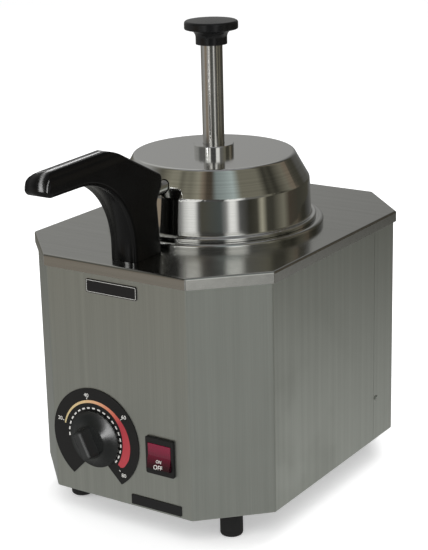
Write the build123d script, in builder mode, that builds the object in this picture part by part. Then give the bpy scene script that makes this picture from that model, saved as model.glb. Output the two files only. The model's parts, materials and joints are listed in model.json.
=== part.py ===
from build123d import *
import os
from math import cos, pi, radians, sin, sqrt

# Counter-top can warmer: an eight-sided stainless casing with a round well for a large food can, a pump lid
# with a plunger, and a heated spout shroud. Millimetres, +Z up, the front panel looks along -Y.
# The origin lies on the table, midway between the spout's nose and the cord gland.

os.makedirs("parts", exist_ok=True)

# Deck and casing
deck_width = 241.0
deck_depth = 308.0
deck_corner = 50.5
deck_bend = 1.8
skirt_height = 9.6
deck_overhang = 2.2
sheet = 1.0
case_height = 207.0
case_bend = 3.0
flange_bend = 1.5
flange_width = 12.0
seam_back = 67.0
seam_gap = 0.3
lap = 10.0
rivet_inset = 5.0
rivet_height = 40.0
rivet_radius = 1.6
rivet_head_radius = 2.6
rivet_head = 1.1
rivet_taper = 30.0

# Feet and small screws
foot_height = 26.0
foot_radius = 9.6
foot_round = 2.2
foot_side_inset = 42.2
foot_end_inset = 46.0
foot_recess_play = 1.0
foot_recess = 6.0
foot_screw_radius = 2.0
foot_head_radius = 3.6
foot_head = 2.6
foot_nut_flats = 7.0
foot_nut = 3.2
small_screw_radius = 1.5
small_head_radius = 2.8
small_head = 1.7
screw_end = 3.0

# Clearances
shaft_clearance = 0.05
hole_clearance = 0.1
loose = 0.3

# Well
well_setback = 150.4
well_radius = 82.5
well_wall = 0.8
well_floor_rise = 65.0
well_floor_round = 8.0
rim_width = 10.9
rim_height = 5.8
rim_round = 2.5
throat_round = 2.0
stud_radius = 3.0
stud_length = 16.0

# Heating element under the well
element_ring = 58.0
element_radius = 4.0
element_sweep = 320.0
element_bend = 8.0
element_leg = 13.0
pin_radius = 1.5
pin_length = 7.0
clamp_radius = 66.0
clamp_thickness = 1.2
clamp_nut_flats = 10.0
clamp_nut_height = 5.0

# Pump lid
hem_inset = 6.2
hem_height = 3.2
hem_round = 1.4
lid_wall = 0.8
hem_flare = 4.0
lid_lean = 1.5
shoulder_rise = 39.9
shoulder_round = 5.0
shoulder_width = 12.7
lid_top_rise = 62.7
lid_top_round = 3.0

# Pump head, cylinder and plunger
neck_wall = 3.25
neck_rise = 5.4
collar_width = 4.7
collar_height = 7.1
collar_chamfer = 0.6
head_flange_width = 4.0
head_flange = 3.0
head_spigot = 12.0
cylinder_radius = 19.0
cylinder_wall = 0.9
plunger_radius = 9.25
plunger_wall = 0.9
piston_length = 16.0
piston_socket = 6.0
seal_radius = 1.9
spring_wire = 1.8
spring_turns = 12
spring_radius = 13.6

# Plunger knob
knob_rise = 154.8
knob_socket_wall = 4.05
knob_neck = 5.5
knob_flare_radius = 20.3
knob_disc_lift = 12.5
knob_disc_radius = 22.7
knob_disc = 7.0
knob_dome = 0.9
knob_edge_round = 2.2
knob_lip_round = 0.9
knob_socket = 8.0

# Foot valve
valve_gap = 7.9
valve_flange = 2.0
valve_height = 12.0
valve_spigot = 10.0
ball_radius = 5.0
ball_lift = 2.5
seat_lip = 1.4
seat_thickness = 3.0
ball_play = 0.5
cage_lip = 0.8
outlet_seat_rise = 6.0
outlet_floor = 1.0
arm_width = 14.0
boss_wall = 3.1
boss_rise = 11.0
channel_width = 5.0
channel_height = 2.6

# Riser and spout tube
riser_gap = 3.4
tube_radius = 5.5
tube_wall = 0.9
tube_drop = 14.7
riser_bend = 14.0
union_gap = 5.0
union_flats = 19.0
union_length = 14.0
climb_gap = 6.7
climb_past = 1.5
climb_bend = 18.0
arm_tube_gap = 0.4
nozzle_inset = 10.5
nozzle_bend = 8.0
nozzle_lift = 0.7
tube_hole_clearance = 0.6

# Spout shroud
shroud_width = 25.6
shroud_wall = 2.5
shroud_edge_round = 3.4
crown_radius = 13.0
column_front = 135.2
column_rear = 98.0
arch_rise = 76.0
arch_radius = 64.0
nose_bottom_forward = 237.4
arm_droop = 0.5
nose_bottom_round = 4.5
nose_lean = 2.0
nose_height = 17.1
nose_top_round = 13.0
peak_offset = 18.3
arm_height = 18.6
peak_round = 22.0
shoulder_overhang = 4.2
shoulder_corner_rise = 64.0
shoulder_corner_round = 5.0
hook_overhang = 3.4
hook_rise = 54.0
hook_round = 5.0
waist_inset = 3.8
waist_rise = 43.0
waist_round = 7.0
mouth_lip = 4.4
mouth_length = 20.0
mouth_width = 16.0
upper_screw_inset = 10.8
upper_screw_drop = 3.4
lower_screw_inset = 4.8
lower_screw_rise = 22.0
nose_screw_inset = 6.2
nose_screw_rise = 6.1
shroud_boss_radius = 2.7
shroud_screw_radius = 1.2
shroud_head_radius = 2.1
shroud_head = 1.4
shroud_screw_reach = 6.0

# Heater post inside the shroud
post_offset = 1.8
post_radius = 7.0
post_wall = 1.0
post_height = 41.0
post_foot_width = 17.0
post_foot_margin = 3.1
post_foot_round = 3.0
post_foot = 1.5
post_screw_gap = 0.6
wire_hole_radius = 4.0
cartridge_gap = 2.0
cartridge_rise = 4.0
post_nut_flats = 5.5
post_nut = 2.4

# Dial, thermostat and knob
dial_x = -25.3
dial_rise = 53.1
dial_radius = 43.8
dial_hole_radius = 20.0
dial_thickness = 0.9
dial_notch_half = 7.5
thermostat_size = 34.0
thermostat_depth = 26.0
bush_radius = 4.9
bush_proud = 2.6
shaft_radius = 3.0
shaft_proud = 15.0
shaft_depth = 12.0
shaft_collar_radius = 5.0
shaft_collar = 2.0
shaft_collar_depth = 5.0
thermostat_screw_inset = 3.0
blade_width = 6.3
blade_thickness = 0.8
blade_length = 8.0
blade_step = 9.0
dial_knob_gap = 0.6
dial_knob_radius = 24.6
dial_knob_edge = 2.0
dial_knob_recess_radius = 21.1
dial_knob_recess = 2.4
dial_knob_hub_radius = 14.5
dial_knob_hub = 8.0
dial_knob_height = 20.0
dial_knob_slope = 0.15
grip_length = 27.0
grip_width = 11.5
grip_turn = 115.7
grip_taper = 4.0
grip_round = 2.4
grip_end_round = 3.8

# Rocker switch
switch_x = 40.1
switch_rise = 51.2
bezel_width = 27.7
bezel_height = 32.3
bezel_thickness = 2.4
bezel_round = 1.6
bezel_edge = 0.7
bezel_side_lap = 1.15
bezel_end_lap = 2.15
housing_depth = 21.0
housing_side_wall = 1.6
housing_end_wall = 3.1
rocker_tilt = 8.0
rocker_middle = 2.1
rocker_swell = 1.5
rocker_back = 3.8
pivot_proud = 0.4
pocket_depth = 8.6
rocker_pin_radius = 1.2
rocker_pin = 0.9
switch_blade_step = 6.0

# Plates on the front panel
plate_thickness = 0.8
upper_plate_x = -3.0
upper_plate_drop = 20.5
upper_plate_width = 50.3
upper_plate_height = 11.4
upper_plate_round = 1.5
lower_strip_x = 34.1
lower_strip_rise = 6.7
lower_strip_width = 49.7
lower_strip_height = 8.5
lower_strip_round = 0.6

# Sensing bulb on the well, and its capillary
bulb_turn = 250.0
bulb_radius = 3.5
bulb_length = 48.0
bulb_lift = 21.0
bulb_chamfer = 1.1
bulb_gap = 0.6
bulb_clip_wall = 0.9
bulb_clip_height = 10.0
bulb_clip_rise = 20.0
capillary_radius = 0.9
capillary_bend = 5.0
capillary_rise = 9.0

# Cord gland and terminal block
gland_x = 46.0
gland_rise = 28.0
gland_radius = 6.0
gland_bore_radius = 3.9
gland_flats = 19.0
gland_flange = 4.0
gland_dome_radius = 8.6
gland_dome_round = 2.0
gland_proud = 10.0
gland_inside = 9.0
gland_nut_height = 4.0
block_width = 44.0
block_depth = 18.0
block_height = 16.0
block_inset = 55.8
block_screw_step = 18.0
block_well_radius = 2.2
block_well_depth = 6.0
block_well_step = 6.0

# Lead wires
lead_radius = 1.1
lead_bend = 3.0
low_lead_rise = 22.0
middle_lead_rise = 27.0
high_lead_rise = 34.0
cartridge_lead_step = 2.2
switch_lead_rise = 74.0

# Places worked out from the sizes above
case_half_depth = deck_depth / 2 - deck_overhang
well_forward = deck_depth / 2 - well_setback
gland_reach = case_half_depth + gland_proud
nose_reach = nose_bottom_forward + well_forward
deck_y = (nose_reach - gland_reach) / 2
well_y = deck_y - well_forward
plate_z = foot_height + sheet
deck_top = foot_height + case_height
case_top = deck_top - sheet
wall_x = deck_width / 2 - deck_overhang
panel_y = deck_y - case_half_depth
back_y = deck_y + case_half_depth
seam_y = deck_y + seam_back
foot_x = deck_width / 2 - foot_side_inset
foot_reach = deck_depth / 2 - foot_end_inset
rim_top = deck_top + rim_height
hem_z = rim_top + loose
well_outer = well_radius + well_wall
rim_radius = well_radius + rim_width
well_floor = foot_height + well_floor_rise
well_under = well_floor - well_wall
hem_radius = rim_radius - hem_inset
lid_base_radius = hem_radius - hem_flare
shoulder_radius = lid_base_radius - lid_lean
lid_top_radius = shoulder_radius - shoulder_width
lid_top = deck_top + lid_top_rise
lid_under = lid_top - lid_wall
neck_top = lid_top + neck_rise
neck_radius = plunger_radius + neck_wall
collar_radius = neck_radius + collar_width
head_flange_radius = cylinder_radius + head_flange_width
cylinder_top = lid_under - head_flange
valve_bottom = well_floor + valve_gap
cylinder_bottom = valve_bottom + valve_height
cylinder_bore = cylinder_radius - cylinder_wall
spigot_bottom = cylinder_top - head_spigot
spring_seat = cylinder_bottom + valve_spigot
piston_top = spigot_bottom - loose
piston_bottom = piston_top - piston_length
plunger_bottom = piston_top - piston_socket
knob_base = deck_top + knob_rise
plunger_top = knob_base + knob_socket
knob_disc_z = knob_base + knob_disc_lift
knob_base_radius = plunger_radius + knob_socket_wall
valve_radius = cylinder_radius + valve_flange
boss_radius = tube_radius + boss_wall
riser_forward = cylinder_radius + riser_gap + boss_radius
seat_hole_radius = ball_radius - seat_lip
chamber_radius = ball_radius + ball_play
cage_hole_radius = ball_radius - cage_lip
tube_z = lid_top - tube_drop
union_forward = riser_forward + riser_bend + union_gap + union_length / 2
dial_z = foot_height + dial_rise
thermostat_screw_step = thermostat_size / 2 - thermostat_screw_inset
switch_z = foot_height + switch_rise
housing_width = bezel_width - 2 * bezel_side_lap
housing_height = bezel_height - 2 * bezel_end_lap
rocker_width = housing_width - 2 * housing_side_wall
rocker_reach = housing_height / 2 - housing_end_wall
element_z = well_under - element_radius - shaft_clearance
clamp_top = element_z - element_radius - shaft_clearance

# Places along the shroud, forward of the well's axis and above the deck
shoulder_forward = column_rear - shoulder_overhang
hook_forward = column_rear - hook_overhang
waist_forward = column_rear + waist_inset
peak_forward = column_front + peak_offset
peak_rise = arch_rise + arm_height
nose_bottom_rise = arch_rise - arm_droop
nose_top_forward = nose_bottom_forward - nose_lean
nose_top_rise = nose_bottom_rise + nose_height
mouth_front = nose_bottom_forward - mouth_lip
mouth_rear = mouth_front - mouth_length
nozzle_forward = mouth_front - nozzle_inset
nozzle_end_rise = nose_bottom_rise + nozzle_lift
climb_start = waist_forward + climb_gap
climb_end = peak_forward + climb_past
arm_tube_rise = arch_rise + shroud_wall + arm_tube_gap + tube_radius
shroud_screw_spots = [
    (shoulder_forward + upper_screw_inset, shoulder_corner_rise - upper_screw_drop),
    (column_front - lower_screw_inset, lower_screw_rise),
    (nose_bottom_forward - nose_screw_inset, nose_bottom_rise + nose_screw_rise),
]
post_forward = (column_front + column_rear) / 2 + post_offset
post_screw_step = post_radius + small_head_radius + post_screw_gap
post_foot_length = 2 * (post_screw_step + post_foot_margin)
cartridge_length = post_height - post_wall - cartridge_rise - cartridge_gap

well_axis = Axis((0, well_y, 0), (0, 0, 1))
section = Plane(origin=(0, well_y, 0), x_dir=(1, 0, 0), z_dir=(0, -1, 0))
middle = Plane(origin=(0, well_y, 0), x_dir=(0, 1, 0), z_dir=(1, 0, 0))
panel = Plane(origin=(0, panel_y, 0), x_dir=(1, 0, 0), z_dir=(0, -1, 0))


def save(piece, name):
    """Label a finished piece and write it."""
    piece.part.label = name
    export_step(piece.part, f"parts/{name}.step")


def outline(inset):
    """Corners of the eight-sided deck, drawn in by inset on every side."""
    x = deck_width / 2 - inset
    y = deck_depth / 2 - inset
    c = deck_corner - inset * (2 - sqrt(2))
    quarter = [(x, y - c), (x - c, y)]
    corners = quarter + [(-across, along) for across, along in reversed(quarter)]
    corners += [(-across, -along) for across, along in corners]
    return [(across, deck_y + along) for across, along in corners]


def on_well(x, forward):
    """A plan point, given by how far it lies in front of the well's axis."""
    return (x, well_y - forward)


def wire(points, bend):
    """A route of straight runs joined by tangent arcs."""
    with BuildLine() as route:
        FilletPolyline(*points, radius=bend)
    return route.wire()


def middle_wire(points, bends):
    """A route in the middle plane, from (forward, height) points."""
    with BuildLine(middle) as route:
        FilletPolyline(*[(-forward, height) for forward, height in points], radius=bends)
    return route.wire()


def square_to(path):
    """The plane square to a route at its start."""
    return Plane(origin=path @ 0, z_dir=path % 0)


# Top deck: one sheet with a skirt turned down all round
post_screw_spots = [on_well(0, post_forward + step) for step in (-post_screw_step, post_screw_step)]
with BuildPart() as top_deck:
    with BuildSketch(Plane.XY.offset(deck_top - skirt_height)):
        Polygon(*outline(0), align=None)
    extrude(amount=skirt_height)
    fillet(top_deck.edges().filter_by(Axis.Z), deck_bend)
    fillet(top_deck.faces().sort_by(Axis.Z)[-1].edges(), deck_bend)
    with BuildSketch(Plane.XY.offset(deck_top - skirt_height)):
        Polygon(*outline(sheet), align=None)
    extrude(amount=skirt_height - sheet, mode=Mode.SUBTRACT)
    with BuildSketch(Plane.XY.offset(deck_top)):
        with Locations(on_well(0, 0)):
            Circle(well_outer + loose)
        with Locations(on_well(0, post_forward)):
            Circle(wire_hole_radius)
        with Locations(*post_screw_spots):
            Circle(small_screw_radius + hole_clearance)
    extrude(amount=-skirt_height, mode=Mode.SUBTRACT)
save(top_deck, "top_deck")

# Casing: a folded shell with flanges turned in at the top and bottom, parted into a front and a rear wrap
flange_x = deck_width / 2 - deck_corner - flange_width
side_x = wall_x - flange_width / 2
end_y = case_half_depth - flange_width / 2
bottom_screw_spots = [
    (-flange_x, deck_y - end_y), (flange_x, deck_y - end_y), (-side_x, deck_y),
    (side_x, deck_y), (-flange_x, deck_y + end_y), (flange_x, deck_y + end_y),
]
with BuildPart() as case_shell:
    with BuildSketch(Plane.XY.offset(foot_height)):
        Polygon(*outline(deck_overhang), align=None)
    extrude(amount=case_top - foot_height)
    fillet(case_shell.edges().filter_by(Axis.Z), case_bend)
    fillet(case_shell.faces().sort_by(Axis.Z)[0].edges(), flange_bend)
    with BuildSketch(Plane.XY.offset(plate_z)):
        Polygon(*outline(deck_overhang + sheet), align=None)
    extrude(amount=case_top - foot_height - 2 * sheet, mode=Mode.SUBTRACT)
    with BuildSketch(Plane.XY.offset(foot_height)):
        Polygon(*outline(deck_overhang + flange_width), align=None)
    extrude(amount=case_top - foot_height, mode=Mode.SUBTRACT)
    with BuildSketch(Plane.XY.offset(foot_height)):
        with Locations(*bottom_screw_spots):
            Circle(small_screw_radius + hole_clearance)
    extrude(amount=sheet, mode=Mode.SUBTRACT)

# The front wrap carries a lap strip behind each seam, and the cut-outs of the dial and the switch
strip_bottom = plate_z + sheet + loose
strip_top = case_top - sheet - loose
strip_x = wall_x - 1.5 * sheet
rivet_y = seam_y + rivet_inset
rivet_z = foot_height + rivet_height
rivet_line = Plane(origin=(-wall_x, rivet_y, rivet_z), x_dir=(0, 1, 0), z_dir=(1, 0, 0))
thermostat_screw_spots = [(dial_x + step, dial_z) for step in (-thermostat_screw_step, thermostat_screw_step)]
with BuildPart() as front_wrap:
    add(case_shell.part)
    split(bisect_by=Plane.XZ.offset(seam_gap / 2 - seam_y), keep=Keep.TOP)
    with BuildSketch(Plane.XY.offset(strip_bottom)):
        with Locations((-strip_x, seam_y), (strip_x, seam_y)):
            Rectangle(sheet, 2 * lap)
    extrude(amount=strip_top - strip_bottom)
    with BuildSketch(rivet_line):
        Circle(rivet_radius + hole_clearance)
    extrude(amount=2 * wall_x, mode=Mode.SUBTRACT)
    with BuildSketch(panel):
        with Locations((dial_x, dial_z)):
            Circle(bush_radius + hole_clearance)
        with Locations(*thermostat_screw_spots):
            Circle(small_screw_radius + hole_clearance)
        with Locations((switch_x, switch_z)):
            Rectangle(housing_width + 2 * hole_clearance, housing_height + 2 * hole_clearance)
    extrude(amount=-sheet, mode=Mode.SUBTRACT)
save(front_wrap, "front_wrap")

gland_z = foot_height + gland_rise
back = Plane(origin=(gland_x, back_y, gland_z), x_dir=(-1, 0, 0), z_dir=(0, 1, 0))
with BuildPart() as rear_wrap:
    add(case_shell.part)
    split(bisect_by=Plane.XZ.offset(-seam_gap / 2 - seam_y), keep=Keep.BOTTOM)
    with BuildSketch(rivet_line):
        Circle(rivet_radius + hole_clearance)
    extrude(amount=2 * wall_x, mode=Mode.SUBTRACT)
    with BuildSketch(back):
        Circle(gland_radius + hole_clearance)
    extrude(amount=-sheet, mode=Mode.SUBTRACT)
save(rear_wrap, "rear_wrap")

rivet_grip = 2 * sheet
with BuildPart() as side_rivets:
    for side in (1, -1):
        face = Plane(origin=(side * wall_x, rivet_y, rivet_z), x_dir=(0, 1, 0), z_dir=(side, 0, 0))
        tail = Plane(origin=face.offset(-rivet_grip).origin, x_dir=(0, 1, 0), z_dir=(-side, 0, 0))
        with BuildSketch(face):
            Circle(rivet_radius)
        extrude(amount=-rivet_grip)
        for seat in (face, tail):
            with BuildSketch(seat):
                Circle(rivet_head_radius)
            extrude(amount=rivet_head, taper=rivet_taper)
save(side_rivets, "side_rivets")

# Bottom plate, lying on the casing's lower flanges
foot_spots = {
    "foot_front_left": (-foot_x, deck_y - foot_reach),
    "foot_front_right": (foot_x, deck_y - foot_reach),
    "foot_rear_left": (-foot_x, deck_y + foot_reach),
    "foot_rear_right": (foot_x, deck_y + foot_reach),
}
block_y = deck_y + case_half_depth - block_inset
block_screw_spots = [(gland_x + step, block_y) for step in (-block_screw_step, block_screw_step)]
with BuildPart() as bottom_plate:
    with BuildSketch(Plane.XY.offset(plate_z)):
        Polygon(*outline(deck_overhang + sheet + loose), align=None)
        with Locations(*bottom_screw_spots, *block_screw_spots):
            Circle(small_screw_radius + hole_clearance, mode=Mode.SUBTRACT)
        with Locations(*foot_spots.values()):
            Circle(foot_screw_radius + hole_clearance, mode=Mode.SUBTRACT)
    extrude(amount=sheet)
save(bottom_plate, "bottom_plate")

with BuildPart() as bottom_screws:
    with BuildSketch(Plane.XY.offset(foot_height)):
        with Locations(*bottom_screw_spots):
            Circle(small_head_radius)
    extrude(amount=-small_head)
    fillet(bottom_screws.faces().group_by(Axis.Z)[0].edges(), small_head / 2)
    with BuildSketch(Plane.XY.offset(foot_height)):
        with Locations(*bottom_screw_spots):
            Circle(small_screw_radius)
    extrude(amount=2 * sheet + screw_end)
save(bottom_screws, "bottom_screws")

# Feet: rubber pegs screwed to the bottom plate through a recess in their soles
for name, spot in foot_spots.items():
    with BuildPart() as foot:
        with BuildSketch():
            with Locations(spot):
                Circle(foot_radius)
        extrude(amount=plate_z)
        fillet(foot.faces().sort_by(Axis.Z)[0].edges(), foot_round)
        with BuildSketch():
            with Locations(spot):
                Circle(foot_head_radius + foot_recess_play)
        extrude(amount=foot_recess, mode=Mode.SUBTRACT)
        with BuildSketch(Plane.XY.offset(foot_recess)):
            with Locations(spot):
                Circle(foot_screw_radius + hole_clearance)
        extrude(amount=plate_z, mode=Mode.SUBTRACT)
    save(foot, name)

with BuildPart() as foot_screws:
    with BuildSketch(Plane.XY.offset(foot_recess)):
        with Locations(*foot_spots.values()):
            Circle(foot_head_radius)
    extrude(amount=-foot_head)
    with BuildSketch(Plane.XY.offset(foot_recess)):
        with Locations(*foot_spots.values()):
            Circle(foot_screw_radius)
    extrude(amount=plate_z + sheet + foot_nut + screw_end - foot_recess)
save(foot_screws, "foot_screws")

with BuildPart() as foot_nuts:
    with BuildSketch(Plane.XY.offset(plate_z + sheet)):
        with Locations(*foot_spots.values()):
            RegularPolygon(foot_nut_flats / 2, 6, major_radius=False)
            Circle(foot_screw_radius + shaft_clearance, mode=Mode.SUBTRACT)
    extrude(amount=foot_nut)
save(foot_nuts, "foot_nuts")

# Well: a spun pot whose rolled rim stands on the deck, with a stud under its floor
with BuildPart() as well:
    with BuildSketch(section):
        with BuildLine():
            FilletPolyline(
                (rim_radius, deck_top), (rim_radius, rim_top), (well_radius, rim_top),
                (well_radius, well_floor), (0, well_floor),
                radius=[rim_round, throat_round, well_floor_round],
            )
            offset(amount=well_wall, side=Side.LEFT)
        make_face()
    revolve(axis=well_axis)
    with BuildSketch(Plane.XY.offset(well_under)):
        with Locations(on_well(0, 0)):
            Circle(stud_radius)
    extrude(amount=-stud_length)
save(well, "well")

# Heating element: an open ring under the well's floor, with two legs turned down at the back
element_open = (360 - element_sweep) / 2
element_side = element_ring * sin(radians(element_open))
element_back = element_ring * cos(radians(element_open))
leg_x = element_side - element_bend * cos(radians(element_open))
leg_y = well_y + element_back + element_bend * sin(radians(element_open))
leg_top = element_z - element_bend
leg_bottom = leg_top - element_leg
leg_spots = [(-leg_x, leg_y), (leg_x, leg_y)]
ring_start = (-element_side, well_y + element_back, element_z)
ring_end = (element_side, well_y + element_back, element_z)
inward = (cos(radians(element_open)), sin(radians(element_open)), 0)
outward = (-cos(radians(element_open)), sin(radians(element_open)), 0)
with BuildLine() as element_route:
    Line((-leg_x, leg_y, leg_bottom), (-leg_x, leg_y, leg_top))
    TangentArc(ring_start, (-leg_x, leg_y, leg_top), tangent=inward)
    CenterArc((0, well_y, element_z), element_ring, 90 + element_open, element_sweep)
    TangentArc(ring_end, (leg_x, leg_y, leg_top), tangent=outward)
    Line((leg_x, leg_y, leg_top), (leg_x, leg_y, leg_bottom))
with BuildPart() as heating_element:
    with BuildSketch(Plane.XY.offset(leg_bottom)):
        with Locations(leg_spots[0]):
            Circle(element_radius)
    sweep(path=element_route.wire())
    with BuildSketch(Plane.XY.offset(leg_bottom)):
        with Locations(*leg_spots):
            Circle(pin_radius)
    extrude(amount=-pin_length)
save(heating_element, "heating_element")

# Clamp plate under the ring, notched at the back where the legs turn down
notch_side = element_side + element_radius + loose
notch_front = leg_y - element_bend - element_radius - loose
with BuildPart() as element_clamp:
    with BuildSketch(Plane.XY.offset(clamp_top)):
        with Locations(on_well(0, 0)):
            Circle(clamp_radius)
            Circle(stud_radius + hole_clearance, mode=Mode.SUBTRACT)
        with Locations((0, notch_front)):
            Rectangle(2 * notch_side, clamp_radius, align=(Align.CENTER, Align.MIN), mode=Mode.SUBTRACT)
    extrude(amount=-clamp_thickness)
save(element_clamp, "element_clamp")

with BuildPart() as clamp_nut:
    with BuildSketch(Plane.XY.offset(clamp_top - clamp_thickness)):
        with Locations(on_well(0, 0)):
            RegularPolygon(clamp_nut_flats / 2, 6, major_radius=False)
            Circle(stud_radius + shaft_clearance, mode=Mode.SUBTRACT)
    extrude(amount=-clamp_nut_height)
save(clamp_nut, "clamp_nut")

# Pump lid: a spun cover with a flared hem that stands on the well's rim
tube_line = Plane(origin=(0, well_y, tube_z), x_dir=(1, 0, 0), z_dir=(0, -1, 0))
with BuildPart() as pump_lid:
    with BuildSketch(section):
        with BuildLine():
            FilletPolyline(
                (hem_radius, hem_z), (hem_radius, hem_z + hem_height), (lid_base_radius, hem_z + hem_height),
                (shoulder_radius, deck_top + shoulder_rise), (lid_top_radius, lid_top),
                (neck_radius + hole_clearance, lid_top),
                radius=[hem_round, hem_round, shoulder_round, lid_top_round],
            )
            offset(amount=lid_wall, side=Side.LEFT)
        make_face()
    revolve(axis=well_axis)
    with BuildSketch(tube_line):
        Circle(tube_radius + tube_hole_clearance)
    extrude(amount=hem_radius, mode=Mode.SUBTRACT)
save(pump_lid, "pump_lid")

with BuildPart() as lock_collar:
    with BuildSketch(Plane.XY.offset(lid_top)):
        with Locations(on_well(0, 0)):
            Circle(collar_radius)
    extrude(amount=collar_height)
    chamfer(lock_collar.faces().sort_by(Axis.Z)[-1].edges(), collar_chamfer)
    with BuildSketch(Plane.XY.offset(lid_top)):
        with Locations(on_well(0, 0)):
            Circle(neck_radius + shaft_clearance)
    extrude(amount=neck_rise + loose, mode=Mode.SUBTRACT)
    with BuildSketch(Plane.XY.offset(lid_top)):
        with Locations(on_well(0, 0)):
            Circle(plunger_radius + loose)
    extrude(amount=collar_height, mode=Mode.SUBTRACT)
save(lock_collar, "lock_collar")

with BuildPart() as pump_head:
    with BuildSketch(Plane.XY.offset(cylinder_top)):
        with Locations(on_well(0, 0)):
            Circle(head_flange_radius)
    extrude(amount=head_flange)
    with BuildSketch(Plane.XY.offset(lid_under)):
        with Locations(on_well(0, 0)):
            Circle(neck_radius)
    extrude(amount=neck_top - lid_under)
    with BuildSketch(Plane.XY.offset(spigot_bottom)):
        with Locations(on_well(0, 0)):
            Circle(cylinder_bore - shaft_clearance)
    extrude(amount=head_spigot)
    with BuildSketch(Plane.XY.offset(spigot_bottom)):
        with Locations(on_well(0, 0)):
            Circle(plunger_radius + shaft_clearance)
    extrude(amount=neck_top - spigot_bottom, mode=Mode.SUBTRACT)
save(pump_head, "pump_head")

with BuildPart() as pump_cylinder:
    with BuildSketch(Plane.XY.offset(cylinder_bottom)):
        with Locations(on_well(0, 0)):
            Circle(cylinder_radius)
            Circle(cylinder_bore, mode=Mode.SUBTRACT)
    extrude(amount=cylinder_top - cylinder_bottom)
save(pump_cylinder, "pump_cylinder")

# Foot valve: an inlet ball under the cylinder, and an outlet ball in a boss under the riser
ball_drop = sqrt(ball_radius**2 - seat_hole_radius**2) + shaft_clearance
seat_top = valve_bottom + seat_thickness
inlet_ball_z = seat_top + ball_drop
cage_top = inlet_ball_z + ball_radius + ball_lift + shaft_clearance
outlet_seat_z = valve_bottom + outlet_seat_rise
outlet_ball_z = outlet_seat_z + ball_drop
riser_bottom = outlet_ball_z + ball_radius + ball_lift + shaft_clearance
boss_top = cylinder_bottom + boss_rise
channel_z = seat_top + channel_height / 2
with BuildPart() as valve_body:
    with BuildSketch(Plane.XY.offset(valve_bottom)):
        with Locations(on_well(0, 0)):
            Circle(valve_radius)
        with Locations(on_well(0, riser_forward / 2)):
            Rectangle(arm_width, riser_forward)
        with Locations(on_well(0, riser_forward)):
            Circle(boss_radius)
    extrude(amount=valve_height)
    with BuildSketch(Plane.XY.offset(cylinder_bottom)):
        with Locations(on_well(0, 0)):
            Circle(cylinder_bore - shaft_clearance)
    extrude(amount=valve_spigot)
    with BuildSketch(Plane.XY.offset(cylinder_bottom)):
        with Locations(on_well(0, riser_forward)):
            Circle(boss_radius)
    extrude(amount=boss_rise)
    with BuildSketch(Plane.XY.offset(valve_bottom)):
        with Locations(on_well(0, 0)):
            Circle(chamber_radius)
    extrude(amount=cage_top - valve_bottom, mode=Mode.SUBTRACT)
    with BuildSketch(Plane.XY.offset(cage_top)):
        with Locations(on_well(0, 0)):
            Circle(cage_hole_radius)
    extrude(amount=spring_seat - cage_top, mode=Mode.SUBTRACT)
    with BuildSketch(Plane.XY.offset(outlet_seat_z)):
        with Locations(on_well(0, riser_forward)):
            Circle(tube_radius + shaft_clearance)
    extrude(amount=boss_top - outlet_seat_z, mode=Mode.SUBTRACT)
    with BuildSketch(Plane.XY.offset(valve_bottom + outlet_floor)):
        with Locations(on_well(0, riser_forward)):
            Circle(seat_hole_radius)
    extrude(amount=outlet_seat_z - valve_bottom - outlet_floor, mode=Mode.SUBTRACT)
    with BuildSketch(Plane(origin=(0, well_y, channel_z), x_dir=(1, 0, 0), z_dir=(0, -1, 0))):
        Rectangle(channel_width, channel_height)
    extrude(amount=riser_forward, mode=Mode.SUBTRACT)
save(valve_body, "valve_body")

with BuildPart() as inlet_seat:
    with BuildSketch(Plane.XY.offset(valve_bottom)):
        with Locations(on_well(0, 0)):
            Circle(chamber_radius - shaft_clearance)
            Circle(seat_hole_radius, mode=Mode.SUBTRACT)
    extrude(amount=seat_thickness)
save(inlet_seat, "inlet_seat")

ball_spots = {
    "inlet_ball": (*on_well(0, 0), inlet_ball_z),
    "outlet_ball": (*on_well(0, riser_forward), outlet_ball_z),
}
for name, spot in ball_spots.items():
    with BuildPart() as ball:
        with Locations(spot):
            Sphere(ball_radius)
    save(ball, name)

# Riser and spout tube, joined inside the lid by a union nut
riser_points = [(riser_forward, riser_bottom), (riser_forward, tube_z), (union_forward, tube_z)]
riser_route = middle_wire(riser_points, [riser_bend])
with BuildPart() as riser_tube:
    with BuildSketch(square_to(riser_route)):
        Circle(tube_radius)
        Circle(tube_radius - tube_wall, mode=Mode.SUBTRACT)
    sweep(path=riser_route)
save(riser_tube, "riser_tube")

arm_z = deck_top + arm_tube_rise
spout_points = [
    (union_forward, tube_z), (climb_start, tube_z), (climb_end, arm_z),
    (nozzle_forward, arm_z), (nozzle_forward, deck_top + nozzle_end_rise),
]
spout_route = middle_wire(spout_points, [climb_bend, climb_bend, nozzle_bend])
with BuildPart() as spout_tube:
    with BuildSketch(square_to(spout_route)):
        Circle(tube_radius)
        Circle(tube_radius - tube_wall, mode=Mode.SUBTRACT)
    sweep(path=spout_route)
save(spout_tube, "spout_tube")

with BuildPart() as union_nut:
    with BuildSketch(tube_line.offset(union_forward - union_length / 2)):
        RegularPolygon(union_flats / 2, 6, major_radius=False)
        Circle(tube_radius + shaft_clearance, mode=Mode.SUBTRACT)
    extrude(amount=union_length)
save(union_nut, "union_nut")

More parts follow.
